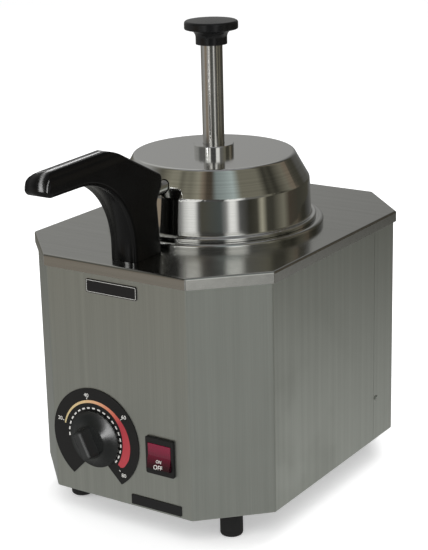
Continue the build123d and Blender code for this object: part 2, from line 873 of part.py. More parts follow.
# Spout shroud: a hollow column and arm, parted down the middle into two moulded halves
shroud_base = deck_top + loose
shroud_half = shroud_width / 2
shroud_inner = shroud_half - shroud_wall
shroud_points = [
    (column_front, shroud_base),
    (column_front, deck_top + arch_rise),
    (nose_bottom_forward, deck_top + nose_bottom_rise),
    (nose_top_forward, deck_top + nose_top_rise),
    (peak_forward, deck_top + peak_rise),
    (shoulder_forward, deck_top + shoulder_corner_rise),
    (hook_forward, deck_top + hook_rise),
    (waist_forward, deck_top + waist_rise),
    (column_rear, shroud_base),
]
shroud_rounds = [
    arch_radius, nose_bottom_round, nose_top_round, peak_round, shoulder_corner_round, hook_round, waist_round,
]
shroud_screw_places = [(-forward, deck_top + rise) for forward, rise in shroud_screw_spots]
mouth_middle = (mouth_front + mouth_rear) / 2
mouth_top = deck_top + nose_bottom_rise + 2 * shroud_wall
tube_entry = waist_forward + shroud_wall
crown_reach = 3 * arch_rise
# The round crown's line runs about 1 mm above the arm's top, which so keeps a narrow flat in its middle
crown_line = Plane(
    origin=(0, -peak_forward, deck_top + peak_rise), x_dir=(1, 0, 0),
    z_dir=(0, peak_forward - nose_top_forward, nose_top_rise - peak_rise),
)


def under_crown(radius):
    """A form whose top is a half round of this radius, centred one crown_radius below crown_line."""
    with BuildPart() as form:
        with BuildSketch(crown_line):
            with Locations((0, -crown_radius)):
                Circle(radius)
                Rectangle(2 * radius, crown_reach, align=(Align.CENTER, Align.MAX))
        extrude(amount=crown_reach, both=True)
    return form.part


outer_form = under_crown(crown_radius)
hollow_form = under_crown(crown_radius - shroud_wall)
with BuildPart() as shroud_hollow:
    with BuildSketch(middle):
        with BuildLine():
            FilletPolyline(*[(-forward, height) for forward, height in shroud_points], radius=shroud_rounds)
            Line((-column_rear, shroud_base), (-column_front, shroud_base))
        make_face()
        offset(amount=-shroud_wall, kind=Kind.INTERSECTION)
        Polygon(
            (-column_front + shroud_wall, shroud_base), (-column_rear - shroud_wall, shroud_base),
            (-column_rear - shroud_wall, shroud_base + 2 * shroud_wall),
            (-column_front + shroud_wall, shroud_base + 2 * shroud_wall), align=None,
        )
    extrude(amount=shroud_inner, both=True)
    add(hollow_form, mode=Mode.INTERSECT)

with BuildPart() as shroud:
    with BuildSketch(middle):
        with BuildLine():
            FilletPolyline(*[(-forward, height) for forward, height in shroud_points], radius=shroud_rounds)
            Line((-column_rear, shroud_base), (-column_front, shroud_base))
        make_face()
    extrude(amount=shroud_half, both=True)
    side_edges = shroud.faces().filter_by(Axis.X).edges()
    fillet(side_edges.filter_by(lambda edge: edge.center().Z > shroud_base + loose), shroud_edge_round)
    add(outer_form, mode=Mode.INTERSECT)
    add(shroud_hollow.part, mode=Mode.SUBTRACT)
    with BuildSketch(middle):
        with Locations(*shroud_screw_places):
            Circle(shroud_boss_radius)
    extrude(amount=shroud_half - shroud_wall / 2, both=True)
    with BuildSketch(tube_line.offset(tube_entry)):
        Circle(tube_radius + tube_hole_clearance)
    extrude(amount=-tube_entry, mode=Mode.SUBTRACT)
    with BuildSketch(Plane.XY.offset(mouth_top)):
        with Locations(on_well(0, mouth_middle)):
            Rectangle(mouth_width, mouth_front - mouth_rear)
    extrude(amount=-3 * shroud_wall, mode=Mode.SUBTRACT)

with BuildPart() as shroud_right:
    add(shroud.part)
    split(bisect_by=middle, keep=Keep.TOP)
    with BuildSketch(middle):
        with Locations(*shroud_screw_places):
            Circle(shroud_screw_radius + shaft_clearance)
    extrude(amount=shroud_screw_reach + loose, mode=Mode.SUBTRACT)
save(shroud_right, "shroud_right")

head_seat = shroud_half - shroud_head - loose
with BuildPart() as shroud_left:
    add(shroud.part)
    split(bisect_by=middle, keep=Keep.BOTTOM)
    with BuildSketch(middle):
        with Locations(*shroud_screw_places):
            Circle(shroud_screw_radius + hole_clearance)
    extrude(amount=-shroud_half, mode=Mode.SUBTRACT)
    with BuildSketch(middle.offset(-head_seat)):
        with Locations(*shroud_screw_places):
            Circle(shroud_head_radius + hole_clearance)
    extrude(amount=-shroud_half, mode=Mode.SUBTRACT)
save(shroud_left, "shroud_left")

with BuildPart() as shroud_screws:
    with BuildSketch(middle.offset(-head_seat)):
        with Locations(*shroud_screw_places):
            Circle(shroud_head_radius)
    extrude(amount=-shroud_head)
    with BuildSketch(middle.offset(-head_seat)):
        with Locations(*shroud_screw_places):
            Circle(shroud_screw_radius)
    extrude(amount=head_seat + shroud_screw_reach)
save(shroud_screws, "shroud_screws")

# Heater post: a closed tube on a foot that is screwed to the deck, with a cartridge heater inside
post_bore = post_radius - post_wall
with BuildPart() as heater_post:
    with BuildSketch(Plane.XY.offset(deck_top)):
        with Locations(on_well(0, post_forward)):
            RectangleRounded(post_foot_width, post_foot_length, post_foot_round)
        with Locations(*post_screw_spots):
            Circle(small_screw_radius + hole_clearance, mode=Mode.SUBTRACT)
    extrude(amount=post_foot)
    with BuildSketch(Plane.XY.offset(deck_top)):
        with Locations(on_well(0, post_forward)):
            Circle(post_radius)
    extrude(amount=post_height)
    chamfer(heater_post.faces().sort_by(Axis.Z)[-1].edges(), post_wall / 2)
    with BuildSketch(Plane.XY.offset(deck_top)):
        with Locations(on_well(0, post_forward)):
            Circle(post_bore)
    extrude(amount=post_height - post_wall, mode=Mode.SUBTRACT)
save(heater_post, "heater_post")

with BuildPart() as spout_heater:
    with BuildSketch(Plane.XY.offset(deck_top + cartridge_rise)):
        with Locations(on_well(0, post_forward)):
            Circle(post_bore - hole_clearance)
    extrude(amount=cartridge_length)
save(spout_heater, "spout_heater")

with BuildPart() as post_screws:
    with BuildSketch(Plane.XY.offset(deck_top + post_foot)):
        with Locations(*post_screw_spots):
            Circle(small_head_radius)
    extrude(amount=small_head)
    with BuildSketch(Plane.XY.offset(deck_top + post_foot)):
        with Locations(*post_screw_spots):
            Circle(small_screw_radius)
    extrude(amount=-post_foot - sheet - post_nut - loose)
save(post_screws, "post_screws")

with BuildPart() as post_nuts:
    with BuildSketch(Plane.XY.offset(case_top)):
        with Locations(*post_screw_spots):
            RegularPolygon(post_nut_flats / 2, 6, major_radius=False)
            Circle(small_screw_radius + shaft_clearance, mode=Mode.SUBTRACT)
    extrude(amount=-post_nut)
save(post_nuts, "post_nuts")

# Dial plate: a disc with a round hole and a wide notch at its foot
dial = Plane(origin=(dial_x, panel_y, dial_z), x_dir=(1, 0, 0), z_dir=(0, -1, 0))
notch_top = sqrt(dial_hole_radius**2 - dial_notch_half**2)
with BuildPart() as dial_plate:
    with BuildSketch(dial):
        Circle(dial_radius)
        Circle(dial_hole_radius, mode=Mode.SUBTRACT)
        Polygon(
            (-dial_notch_half, -notch_top), (dial_notch_half, -notch_top),
            (dial_notch_half + dial_radius, -notch_top - dial_radius),
            (-dial_notch_half - dial_radius, -notch_top - dial_radius),
            align=None, mode=Mode.SUBTRACT,
        )
    extrude(amount=dial_thickness)
save(dial_plate, "dial_plate")

# Thermostat behind the panel, its shaft and the dial knob
blade_y = panel_y + sheet + thermostat_depth / 2
thermostat_bottom = dial_z - thermostat_size / 2
blade_spots = [(dial_x - blade_step, blade_y), (dial_x + blade_step, blade_y)]
with BuildPart() as thermostat:
    with BuildSketch(dial.offset(-sheet)):
        Rectangle(thermostat_size, thermostat_size)
    extrude(amount=-thermostat_depth)
    with BuildSketch(dial.offset(-sheet)):
        Circle(bush_radius)
    extrude(amount=sheet + bush_proud)
    with BuildSketch(Plane.XY.offset(thermostat_bottom)):
        with Locations(*blade_spots):
            Rectangle(blade_width, blade_thickness)
    extrude(amount=-blade_length)
    with BuildSketch(dial.offset(bush_proud)):
        Circle(shaft_radius + shaft_clearance)
    extrude(amount=-bush_proud - shaft_depth - loose, mode=Mode.SUBTRACT)
    with BuildSketch(dial.offset(-shaft_collar_depth)):
        Circle(shaft_collar_radius + loose)
    extrude(amount=-shaft_collar - 2 * loose, mode=Mode.SUBTRACT)
    with BuildSketch(dial.offset(-sheet)):
        with Locations((-thermostat_screw_step, 0), (thermostat_screw_step, 0)):
            Circle(small_screw_radius + hole_clearance)
    extrude(amount=-screw_end - loose, mode=Mode.SUBTRACT)
save(thermostat, "thermostat")

with BuildPart() as thermostat_screws:
    with BuildSketch(dial):
        with Locations((-thermostat_screw_step, 0), (thermostat_screw_step, 0)):
            Circle(small_head_radius)
    extrude(amount=small_head)
    with BuildSketch(dial):
        with Locations((-thermostat_screw_step, 0), (thermostat_screw_step, 0)):
            Circle(small_screw_radius)
    extrude(amount=-sheet - screw_end)
save(thermostat_screws, "thermostat_screws")

with BuildPart() as thermostat_shaft:
    with BuildSketch(dial.offset(shaft_proud)):
        Circle(shaft_radius)
    extrude(amount=-shaft_proud - shaft_depth)
    with BuildSketch(dial.offset(-shaft_collar_depth - loose)):
        Circle(shaft_collar_radius)
    extrude(amount=-shaft_collar)
save(thermostat_shaft, "thermostat_shaft")

knob_back = dial_thickness + dial_knob_gap
hub_front = knob_back + dial_knob_hub
skirt_front = knob_back + dial_knob_edge
dial_section = Plane(origin=dial.origin, x_dir=(1, 0, 0), z_dir=(0, 0, -1))
grip_along = (cos(radians(grip_turn)), 0, sin(radians(grip_turn)))
grip_plane = Plane(origin=dial.offset(knob_back + dial_knob_recess).origin, x_dir=grip_along, z_dir=(0, -1, 0))
with BuildPart() as thermostat_knob:
    with BuildSketch(dial_section):
        with BuildLine():
            Polyline(
                (dial_knob_hub_radius, hub_front), (0, hub_front), (0, knob_back),
                (dial_knob_radius, knob_back), (dial_knob_radius, skirt_front),
            )
            TangentArc(
                (dial_knob_radius, skirt_front), (dial_knob_hub_radius, hub_front),
                tangent=(-1, dial_knob_slope),
            )
        make_face()
    revolve(axis=Axis(dial.origin, (0, -1, 0)))
    with BuildSketch(grip_plane):
        RectangleRounded(grip_length, grip_width, grip_end_round)
    extrude(amount=dial_knob_height - dial_knob_recess, taper=grip_taper)
    fillet(thermostat_knob.faces().sort_by(Axis.Y)[0].edges(), grip_round)
    with BuildSketch(dial.offset(knob_back)):
        Circle(dial_knob_recess_radius)
    extrude(amount=dial_knob_recess, mode=Mode.SUBTRACT)
    with BuildSketch(dial.offset(knob_back)):
        Circle(shaft_radius + shaft_clearance)
    extrude(amount=shaft_proud + loose - knob_back, mode=Mode.SUBTRACT)
save(thermostat_knob, "thermostat_knob")

# Rocker switch: a bezel and housing clipped in the panel, and a rocker on two pins
switch = Plane(origin=(switch_x, panel_y, switch_z), x_dir=(1, 0, 0), z_dir=(0, -1, 0))
pivot_y = panel_y - pivot_proud
pivot = Plane(origin=(switch_x, pivot_y, switch_z), x_dir=(0, 1, 0), z_dir=(1, 0, 0))
switch_back_y = panel_y + housing_depth
tilt = radians(rocker_tilt)
with BuildPart() as switch_body:
    with BuildSketch(switch):
        RectangleRounded(bezel_width, bezel_height, bezel_round)
    extrude(amount=bezel_thickness)
    fillet(switch_body.faces().sort_by(Axis.Y)[0].edges(), bezel_edge)
    with BuildSketch(switch):
        Rectangle(housing_width, housing_height)
    extrude(amount=-housing_depth)
    with BuildSketch(switch.offset(bezel_thickness)):
        Rectangle(rocker_width + 2 * loose, 2 * rocker_reach + 2 * loose)
    extrude(amount=-pocket_depth, mode=Mode.SUBTRACT)
    with BuildSketch(pivot):
        Circle(rocker_pin_radius + shaft_clearance)
    extrude(amount=rocker_width / 2 + rocker_pin + hole_clearance, both=True, mode=Mode.SUBTRACT)
    with BuildSketch(switch.offset(-housing_depth)):
        with Locations((0, -switch_blade_step), (0, switch_blade_step)):
            Rectangle(blade_width, blade_thickness)
    extrude(amount=-blade_length)
save(switch_body, "switch_body")

rocker_plane = Plane(origin=pivot.origin, x_dir=(0, -cos(tilt), sin(tilt)), z_dir=(-1, 0, 0))
rocker_face = rocker_middle + rocker_swell
face_reach = sqrt(rocker_reach**2 - rocker_face**2)
back_reach = sqrt(rocker_reach**2 - rocker_back**2)
with BuildPart() as switch_rocker:
    with BuildSketch(rocker_plane):
        with BuildLine():
            Polyline((rocker_face, -face_reach), (rocker_middle, 0), (rocker_face, face_reach))
            ThreePointArc((rocker_face, face_reach), (0, rocker_reach), (-rocker_back, back_reach))
            Line((-rocker_back, back_reach), (-rocker_back, -back_reach))
            ThreePointArc((-rocker_back, -back_reach), (0, -rocker_reach), (rocker_face, -face_reach))
        make_face()
    extrude(amount=rocker_width / 2, both=True)
    with BuildSketch(rocker_plane):
        Circle(rocker_pin_radius)
    extrude(amount=rocker_width / 2 + rocker_pin, both=True)
save(switch_rocker, "switch_rocker")

# Two bare plates on the front panel
with BuildPart() as upper_plate:
    with BuildSketch(panel):
        with Locations((upper_plate_x, deck_top - upper_plate_drop)):
            RectangleRounded(upper_plate_width, upper_plate_height, upper_plate_round)
    extrude(amount=plate_thickness)
save(upper_plate, "upper_plate")

with BuildPart() as lower_strip:
    with BuildSketch(panel):
        with Locations((lower_strip_x, foot_height + lower_strip_rise)):
            RectangleRounded(lower_strip_width, lower_strip_height, lower_strip_round)
    extrude(amount=plate_thickness)
save(lower_strip, "lower_strip")

# Sensing bulb, clipped to the well, with its capillary from the thermostat
bulb_reach = well_outer + bulb_gap + bulb_radius
bulb_x = bulb_reach * cos(radians(bulb_turn))
bulb_y = well_y + bulb_reach * sin(radians(bulb_turn))
bulb_z = well_floor + bulb_lift
thermostat_top = dial_z + thermostat_size / 2
capillary_z = thermostat_top + capillary_rise
capillary_points = [
    (bulb_x, blade_y, thermostat_top), (bulb_x, blade_y, capillary_z),
    (bulb_x, bulb_y, capillary_z), (bulb_x, bulb_y, bulb_z),
]
capillary_route = wire(capillary_points, capillary_bend)
with BuildPart() as sensing_bulb:
    with BuildSketch(Plane.XY.offset(bulb_z)):
        with Locations((bulb_x, bulb_y)):
            Circle(bulb_radius)
    extrude(amount=bulb_length)
    chamfer(sensing_bulb.faces().filter_by(Axis.Z).edges(), bulb_chamfer)
    with BuildSketch(square_to(capillary_route)):
        Circle(capillary_radius)
    sweep(path=capillary_route)
save(sensing_bulb, "sensing_bulb")

with BuildPart() as bulb_clip:
    with BuildSketch(Plane.XY.offset(bulb_z + bulb_clip_rise)):
        with Locations((bulb_x, bulb_y)):
            Circle(bulb_radius + shaft_clearance + bulb_clip_wall)
            Circle(bulb_radius + shaft_clearance, mode=Mode.SUBTRACT)
        with Locations(on_well(0, 0)):
            Circle(well_outer + shaft_clearance, mode=Mode.SUBTRACT)
    extrude(amount=bulb_clip_height)
save(bulb_clip, "bulb_clip")

# Cord gland in the rear wrap, with its nut inside
with BuildPart() as cord_gland:
    with BuildSketch(back):
        RegularPolygon(gland_flats / 2, 6, major_radius=False)
    extrude(amount=gland_flange)
    with BuildSketch(back.offset(gland_flange)):
        Circle(gland_dome_radius)
    extrude(amount=gland_proud - gland_flange)
    fillet(cord_gland.faces().sort_by(Axis.Y)[-1].edges(), gland_dome_round)
    with BuildSketch(back):
        Circle(gland_radius)
    extrude(amount=-gland_inside)
    with BuildSketch(back.offset(gland_proud)):
        Circle(gland_bore_radius)
    extrude(amount=-gland_proud - gland_inside, mode=Mode.SUBTRACT)
save(cord_gland, "cord_gland")

with BuildPart() as gland_nut:
    with BuildSketch(back.offset(-sheet)):
        RegularPolygon(gland_flats / 2, 6, major_radius=False)
        Circle(gland_radius + shaft_clearance, mode=Mode.SUBTRACT)
    extrude(amount=-gland_nut_height)
save(gland_nut, "gland_nut")

# Terminal block on the bottom plate, with four wells for the leads
block_bottom = plate_z + sheet
block_top = block_bottom + block_height
block_floor = block_top - block_well_depth
block_well_spots = [(gland_x + step * block_well_step, block_y) for step in (-1.5, -0.5, 0.5, 1.5)]
with BuildPart() as terminal_block:
    with BuildSketch(Plane.XY.offset(block_bottom)):
        with Locations((gland_x, block_y)):
            Rectangle(block_width, block_depth)
        with Locations(*block_screw_spots):
            Circle(small_screw_radius + hole_clearance, mode=Mode.SUBTRACT)
    extrude(amount=block_height)
    with BuildSketch(Plane.XY.offset(block_floor)):
        with Locations(*block_well_spots):
            Circle(block_well_radius)
    extrude(amount=block_well_depth, mode=Mode.SUBTRACT)
save(terminal_block, "terminal_block")

with BuildPart() as terminal_screws:
    with BuildSketch(Plane.XY.offset(block_top)):
        with Locations(*block_screw_spots):
            Circle(small_head_radius)
    extrude(amount=small_head)
    with BuildSketch(Plane.XY.offset(block_top)):
        with Locations(*block_screw_spots):
            Circle(small_screw_radius)
    extrude(amount=-block_height - sheet - screw_end)
save(terminal_screws, "terminal_screws")

# Lead wires between the terminal block, switch, thermostat, heating element and cartridge
post_y = well_y - post_forward
low_z = foot_height + low_lead_rise
middle_z = foot_height + middle_lead_rise
high_z = foot_height + high_lead_rise
switch_lead_z = foot_height + switch_lead_rise
lead_end = block_floor + shaft_clearance
blade_end = thermostat_bottom - blade_length - shaft_clearance
pin_end = leg_bottom - pin_length - shaft_clearance
cartridge_end = deck_top + cartridge_rise - shaft_clearance
switch_tip_y = switch_back_y + blade_length + shaft_clearance
switch_turn_y = switch_tip_y + 2 * lead_bend
lower_blade_z = switch_z - switch_blade_step
upper_blade_z = switch_z + switch_blade_step
(left_blade, right_blade) = blade_spots
(left_leg, right_leg) = leg_spots
(well_a, well_b, well_c, well_d) = block_well_spots
lead_points = [
    [(*right_blade, blade_end), (*right_blade, low_z), (*well_a, low_z), (*well_a, lead_end)],
    [
        (switch_x, switch_tip_y, lower_blade_z), (switch_x, switch_turn_y, lower_blade_z),
        (switch_x, switch_turn_y, low_z), (*well_b, low_z), (*well_b, lead_end),
    ],
    [(*right_leg, pin_end), (*right_leg, middle_z), (*well_c, middle_z), (*well_c, lead_end)],
    [(*left_leg, pin_end), (*left_leg, low_z), (*left_blade, low_z), (*left_blade, blade_end)],
    [
        (cartridge_lead_step, post_y, cartridge_end), (cartridge_lead_step, post_y, switch_lead_z),
        (switch_x, switch_turn_y, switch_lead_z), (switch_x, switch_turn_y, upper_blade_z),
        (switch_x, switch_tip_y, upper_blade_z),
    ],
    [
        (-cartridge_lead_step, post_y, cartridge_end), (-cartridge_lead_step, post_y, high_z),
        (*well_d, high_z), (*well_d, lead_end),
    ],
]
lead_routes = [wire(points, lead_bend) for points in lead_points]
with BuildPart() as lead_wires:
    for lead_route in lead_routes:
        with BuildSketch(square_to(lead_route)):
            Circle(lead_radius)
        sweep(path=lead_route)
save(lead_wires, "lead_wires")

# Plunger: a tube with a moulded knob on top and a sealed piston below
with BuildPart() as plunger_tube:
    with BuildSketch(Plane.XY.offset(plunger_bottom)):
        with Locations(on_well(0, 0)):
            Circle(plunger_radius)
            Circle(plunger_radius - plunger_wall, mode=Mode.SUBTRACT)
    extrude(amount=plunger_top - plunger_bottom)
save(plunger_tube, "plunger_tube")

knob_rim_z = knob_disc_z + knob_disc
knob_crown = knob_rim_z + knob_dome
neck_z = knob_base + knob_neck
with BuildPart() as plunger_knob:
    with BuildSketch(section):
        with BuildLine():
            Polyline((0, knob_crown), (0, knob_base), (knob_base_radius, knob_base), (knob_base_radius, neck_z))
            TangentArc((knob_base_radius, neck_z), (knob_flare_radius, knob_disc_z), tangent=(0, 1))
            Line((knob_flare_radius, knob_disc_z), (knob_disc_radius, knob_disc_z))
            Line((knob_disc_radius, knob_disc_z), (knob_disc_radius, knob_rim_z))
            TangentArc((0, knob_crown), (knob_disc_radius, knob_rim_z), tangent=(1, 0))
        make_face()
    revolve(axis=well_axis)
    rims = plunger_knob.edges().filter_by(lambda edge: edge.is_closed)
    fillet(rims.sort_by(Axis.Z)[-1], knob_edge_round)
    rims = plunger_knob.edges().filter_by(lambda edge: edge.is_closed)
    fillet(rims.group_by(SortBy.LENGTH)[-1].sort_by(Axis.Z)[0], knob_lip_round)
    with BuildSketch(Plane.XY.offset(knob_base)):
        with Locations(on_well(0, 0)):
            Circle(plunger_radius + shaft_clearance)
    extrude(amount=knob_socket, mode=Mode.SUBTRACT)
save(plunger_knob, "plunger_knob")

seal_ring = cylinder_bore - shaft_clearance - seal_radius
seal_z = piston_bottom + (piston_length - piston_socket) / 2
with BuildPart() as piston:
    with BuildSketch(Plane.XY.offset(piston_bottom)):
        with Locations(on_well(0, 0)):
            Circle(cylinder_bore - loose)
    extrude(amount=piston_length)
    with BuildSketch(Plane.XY.offset(seal_z)):
        with Locations(on_well(0, 0)):
            Circle(cylinder_bore)
            Circle(seal_ring - seal_radius - shaft_clearance, mode=Mode.SUBTRACT)
    extrude(amount=seal_radius + shaft_clearance, both=True, mode=Mode.SUBTRACT)
    with BuildSketch(Plane.XY.offset(plunger_bottom)):
        with Locations(on_well(0, 0)):
            Circle(plunger_radius + shaft_clearance)
    extrude(amount=piston_socket, mode=Mode.SUBTRACT)
save(piston, "piston")

with BuildPart() as piston_seal:
    with Locations((*on_well(0, 0), seal_z)):
        Torus(seal_ring, seal_radius)
save(piston_seal, "piston_seal")

# Return spring: one unbroken helix, each half turn drawn as two tangent arcs
spring_bottom = spring_seat + spring_wire / 2 + shaft_clearance
spring_top = piston_bottom - spring_wire / 2 - shaft_clearance
spring_pitch = (spring_top - spring_bottom) / spring_turns


def spring_point(turns):
    """Where the spring's middle line lies after so many turns."""
    angle = 2 * pi * turns
    height = spring_bottom + spring_pitch * turns
    return Vector(spring_radius * cos(angle), well_y + spring_radius * sin(angle), height)


def spring_heading(turns):
    """The direction in which the spring's middle line runs after so many turns."""
    angle = 2 * pi * turns
    around = 2 * pi * spring_radius
    return Vector(-around * sin(angle), around * cos(angle), spring_pitch).normalized()


with BuildLine() as spring_route:
    for half in range(2 * spring_turns):
        start = spring_point(half / 2)
        finish = spring_point((half + 1) / 2)
        leaving = spring_heading(half / 2)
        arriving = spring_heading((half + 1) / 2)
        chord = finish - start
        along = chord.dot(leaving + arriving)
        spread = 2 * (1 - leaving.dot(arriving))
        reach = (sqrt(along**2 + spread * chord.dot(chord)) - along) / spread
        after_start = start + leaving * reach
        before_finish = finish - arriving * reach
        joint = (after_start + before_finish) / 2
        TangentArc(start, joint, tangent=leaving)
        TangentArc(joint, finish, tangent=before_finish - after_start)
with BuildPart() as return_spring:
    with BuildSketch(Plane(origin=spring_point(0), z_dir=spring_heading(0))):
        Circle(spring_wire / 2)
    sweep(path=spring_route.wire())
save(return_spring, "return_spring")

print(f"return spring: gap between turns {spring_pitch - spring_wire:.2f} mm")
print(f"plunger knob to collar: {knob_base - lid_top - collar_height:.1f} mm")
print(f"overall height {knob_crown:.1f} mm, length {nose_reach + gland_reach:.1f} mm")
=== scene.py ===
# %% [markdown]
# # Dressing a can warmer
#
# The can warmer is a folded steel casing with a hot well in its deck. A polished pump lid covers the well,
# and a black shroud carries the spout over the front edge. The solids are already exact, so this lesson
# loads them as a fixed frame and spends its effort on finishes, printed marks, light and camera.

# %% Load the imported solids
import json
from math import cos, pi, radians, sin

import bmesh
import bpy
from mathutils import Matrix, Vector
from mathutils.bvhtree import BVHTree


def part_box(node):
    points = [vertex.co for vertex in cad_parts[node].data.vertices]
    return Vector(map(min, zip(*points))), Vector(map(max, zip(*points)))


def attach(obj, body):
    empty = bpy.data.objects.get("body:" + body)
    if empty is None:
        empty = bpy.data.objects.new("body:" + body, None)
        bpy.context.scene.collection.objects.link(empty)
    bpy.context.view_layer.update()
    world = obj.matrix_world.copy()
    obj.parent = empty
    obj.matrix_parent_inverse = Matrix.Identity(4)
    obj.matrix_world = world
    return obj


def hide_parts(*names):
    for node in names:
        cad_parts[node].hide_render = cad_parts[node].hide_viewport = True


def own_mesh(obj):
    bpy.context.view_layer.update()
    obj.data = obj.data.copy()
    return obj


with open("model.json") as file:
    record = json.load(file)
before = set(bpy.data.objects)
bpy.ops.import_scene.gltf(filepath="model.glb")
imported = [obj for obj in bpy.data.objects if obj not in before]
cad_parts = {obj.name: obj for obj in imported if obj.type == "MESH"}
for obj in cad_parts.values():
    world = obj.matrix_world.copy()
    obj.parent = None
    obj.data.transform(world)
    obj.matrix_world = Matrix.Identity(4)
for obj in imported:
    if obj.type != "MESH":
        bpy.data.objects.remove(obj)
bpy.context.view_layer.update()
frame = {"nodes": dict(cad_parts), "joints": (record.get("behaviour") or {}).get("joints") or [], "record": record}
joints = {joint["name"]: joint for joint in frame["joints"]}
mm = 0.001

# %% [markdown]
# Every finish below is a small tree of shader nodes. A tree could be clicked together by hand, but in code
# a few helpers keep it readable: one adds a node, one wires a value or a number into a socket, and one
# makes a maths node whose result can be used at once. Two more give a point's place, stretched or as its
# three numbers.

# %% Helpers for shader trees
def add(tree, kind, **settings):
    node = tree.nodes.new(kind)
    for key, value in settings.items():
        setattr(node, key, value)
    return node


def feed(tree, value, socket):
    if isinstance(value, bpy.types.NodeSocket):
        tree.links.new(value, socket)
    else:
        socket.default_value = value


def maths(tree, operation, *values):
    node = add(tree, "ShaderNodeMath", operation=operation)
    for value, socket in zip(values, node.inputs):
        feed(tree, value, socket)
    return node.outputs[0]


def scaled_place(tree, stretch):
    place = add(tree, "ShaderNodeTexCoord").outputs["Object"]
    node = add(tree, "ShaderNodeVectorMath", operation="MULTIPLY")
    feed(tree, place, node.inputs[0])
    feed(tree, stretch, node.inputs[1])
    return node.outputs[0]


def place_parts(tree):
    """The point's own x, y and z in metres, as three sockets."""
    parts = add(tree, "ShaderNodeSeparateXYZ")
    feed(tree, add(tree, "ShaderNodeTexCoord").outputs["Object"], parts.inputs[0])
    return parts.outputs


print("shader helpers ready")

# %% [markdown]
# Effects that several finishes share are node groups: a group is built once, its sockets are named on its
# interface, and each material places it with its own values. A group here only puts out values that
# change over the surface, such as a tone or a bump height, and the shader stays in the material.

# %% A group starter
def new_group(name, inputs, outputs):
    group = bpy.data.node_groups.new(name, "ShaderNodeTree")
    for title, kind, value in inputs:
        socket = group.interface.new_socket(name=title, in_out="INPUT", socket_type=kind)
        socket.default_value = value
    for title in outputs:
        group.interface.new_socket(name=title, in_out="OUTPUT", socket_type="NodeSocketFloat")
    return group, add(group, "NodeGroupInput"), add(group, "NodeGroupOutput")


def noise(tree, vector, scale, detail, roughness=0.5):
    node = add(tree, "ShaderNodeTexNoise")
    feed(tree, vector, node.inputs["Vector"])
    feed(tree, scale, node.inputs["Scale"])
    feed(tree, detail, node.inputs["Detail"])
    feed(tree, roughness, node.inputs["Roughness"])
    return node.outputs["Fac"]


def spread(tree, value, low, high, to_low=0.0, to_high=1.0, smooth=False):
    node = add(tree, "ShaderNodeMapRange", interpolation_type="SMOOTHSTEP" if smooth else "LINEAR")
    for number, socket in zip((value, low, high, to_low, to_high), node.inputs):
        feed(tree, number, socket)
    return node.outputs[0]


print("group starter ready")

# %% [markdown]
# Brushed sheet steel has been drawn past an abrasive belt. Its scratches are hair-fine across the belt and
# long along it. A noise whose coordinates are stretched far more one way than the other gives such lines
# from any distance. A second, slower noise gives the wide bands that a belt leaves.

# %% The brushed grain group
grain_group, start, end = new_group(
    "brushed_grain", [("Stretch", "NodeSocketVector", (2400.0, 2400.0, 14.0))], ["Tone", "Height"])
lines = scaled_place(grain_group, start.outputs["Stretch"])
wide = add(grain_group, "ShaderNodeVectorMath", operation="SCALE")
feed(grain_group, lines, wide.inputs[0])
feed(grain_group, 0.07, wide.inputs["Scale"])
fine_lines = noise(grain_group, lines, 1.0, 2.0)
belt_bands = noise(grain_group, wide.outputs[0], 1.0, 3.0)
mixed = maths(grain_group, "ADD", maths(grain_group, "MULTIPLY", fine_lines, 0.45),
              maths(grain_group, "MULTIPLY", belt_bands, 0.55))
feed(grain_group, spread(grain_group, mixed, 0.3, 0.7), end.inputs["Tone"])
feed(grain_group, fine_lines, end.inputs["Height"])
print("group", grain_group.name, "puts out", [socket.name for socket in end.inputs if socket.name])

# %% [markdown]
# The lid, the tubes and the well are turned or spun round an axis, so their fine lines are rings. The
# distance from the axis plus the height is one number that steps from ring to ring on flat tops, cones and
# walls alike, and a one-dimensional noise of that number draws them.

# %% The spun rings group
rings_group, start, end = new_group(
    "spun_rings",
    [("Centre", "NodeSocketVector", (0.0, 0.0, 0.0)), ("Pitch", "NodeSocketFloat", 900.0)],
    ["Tone", "Height"])
place = add(rings_group, "ShaderNodeTexCoord").outputs["Object"]
offset = add(rings_group, "ShaderNodeVectorMath", operation="SUBTRACT")
feed(rings_group, place, offset.inputs[0])
feed(rings_group, start.outputs["Centre"], offset.inputs[1])
parts = add(rings_group, "ShaderNodeSeparateXYZ")
feed(rings_group, offset.outputs[0], parts.inputs[0])
across = maths(rings_group, "SQRT", maths(
    rings_group, "ADD", maths(rings_group, "MULTIPLY", parts.outputs[0], parts.outputs[0]),
    maths(rings_group, "MULTIPLY", parts.outputs[1], parts.outputs[1])))
ring = maths(rings_group, "MULTIPLY", maths(rings_group, "ADD", across, parts.outputs[2]),
             start.outputs["Pitch"])
ring_noise = add(rings_group, "ShaderNodeTexNoise", noise_dimensions="1D")
feed(rings_group, ring, ring_noise.inputs["W"])
feed(rings_group, 1.0, ring_noise.inputs["Scale"])
feed(rings_group, 3.0, ring_noise.inputs["Detail"])
feed(rings_group, spread(rings_group, ring_noise.outputs["Fac"], 0.3, 0.7), end.inputs["Tone"])
feed(rings_group, ring_noise.outputs["Fac"], end.inputs["Height"])
print("group", rings_group.name, "ready")

# %% [markdown]
# Steel in a kitchen carries faint wiped patches where it is a little duller, and moulded plastic has a skin
# of tiny dimples. Both are plain noises, so each gets a small group with one main control.

# %% The smudge and moulded skin groups
smudge_group, start, end = new_group("wiped_patches", [("Scale", "NodeSocketFloat", 14.0)], ["Mask"])
patches = noise(smudge_group, scaled_place(smudge_group, (1.0, 1.0, 1.0)), start.outputs["Scale"], 4.0, 0.6)
feed(smudge_group, spread(smudge_group, patches, 0.46, 0.68, smooth=True), end.inputs["Mask"])

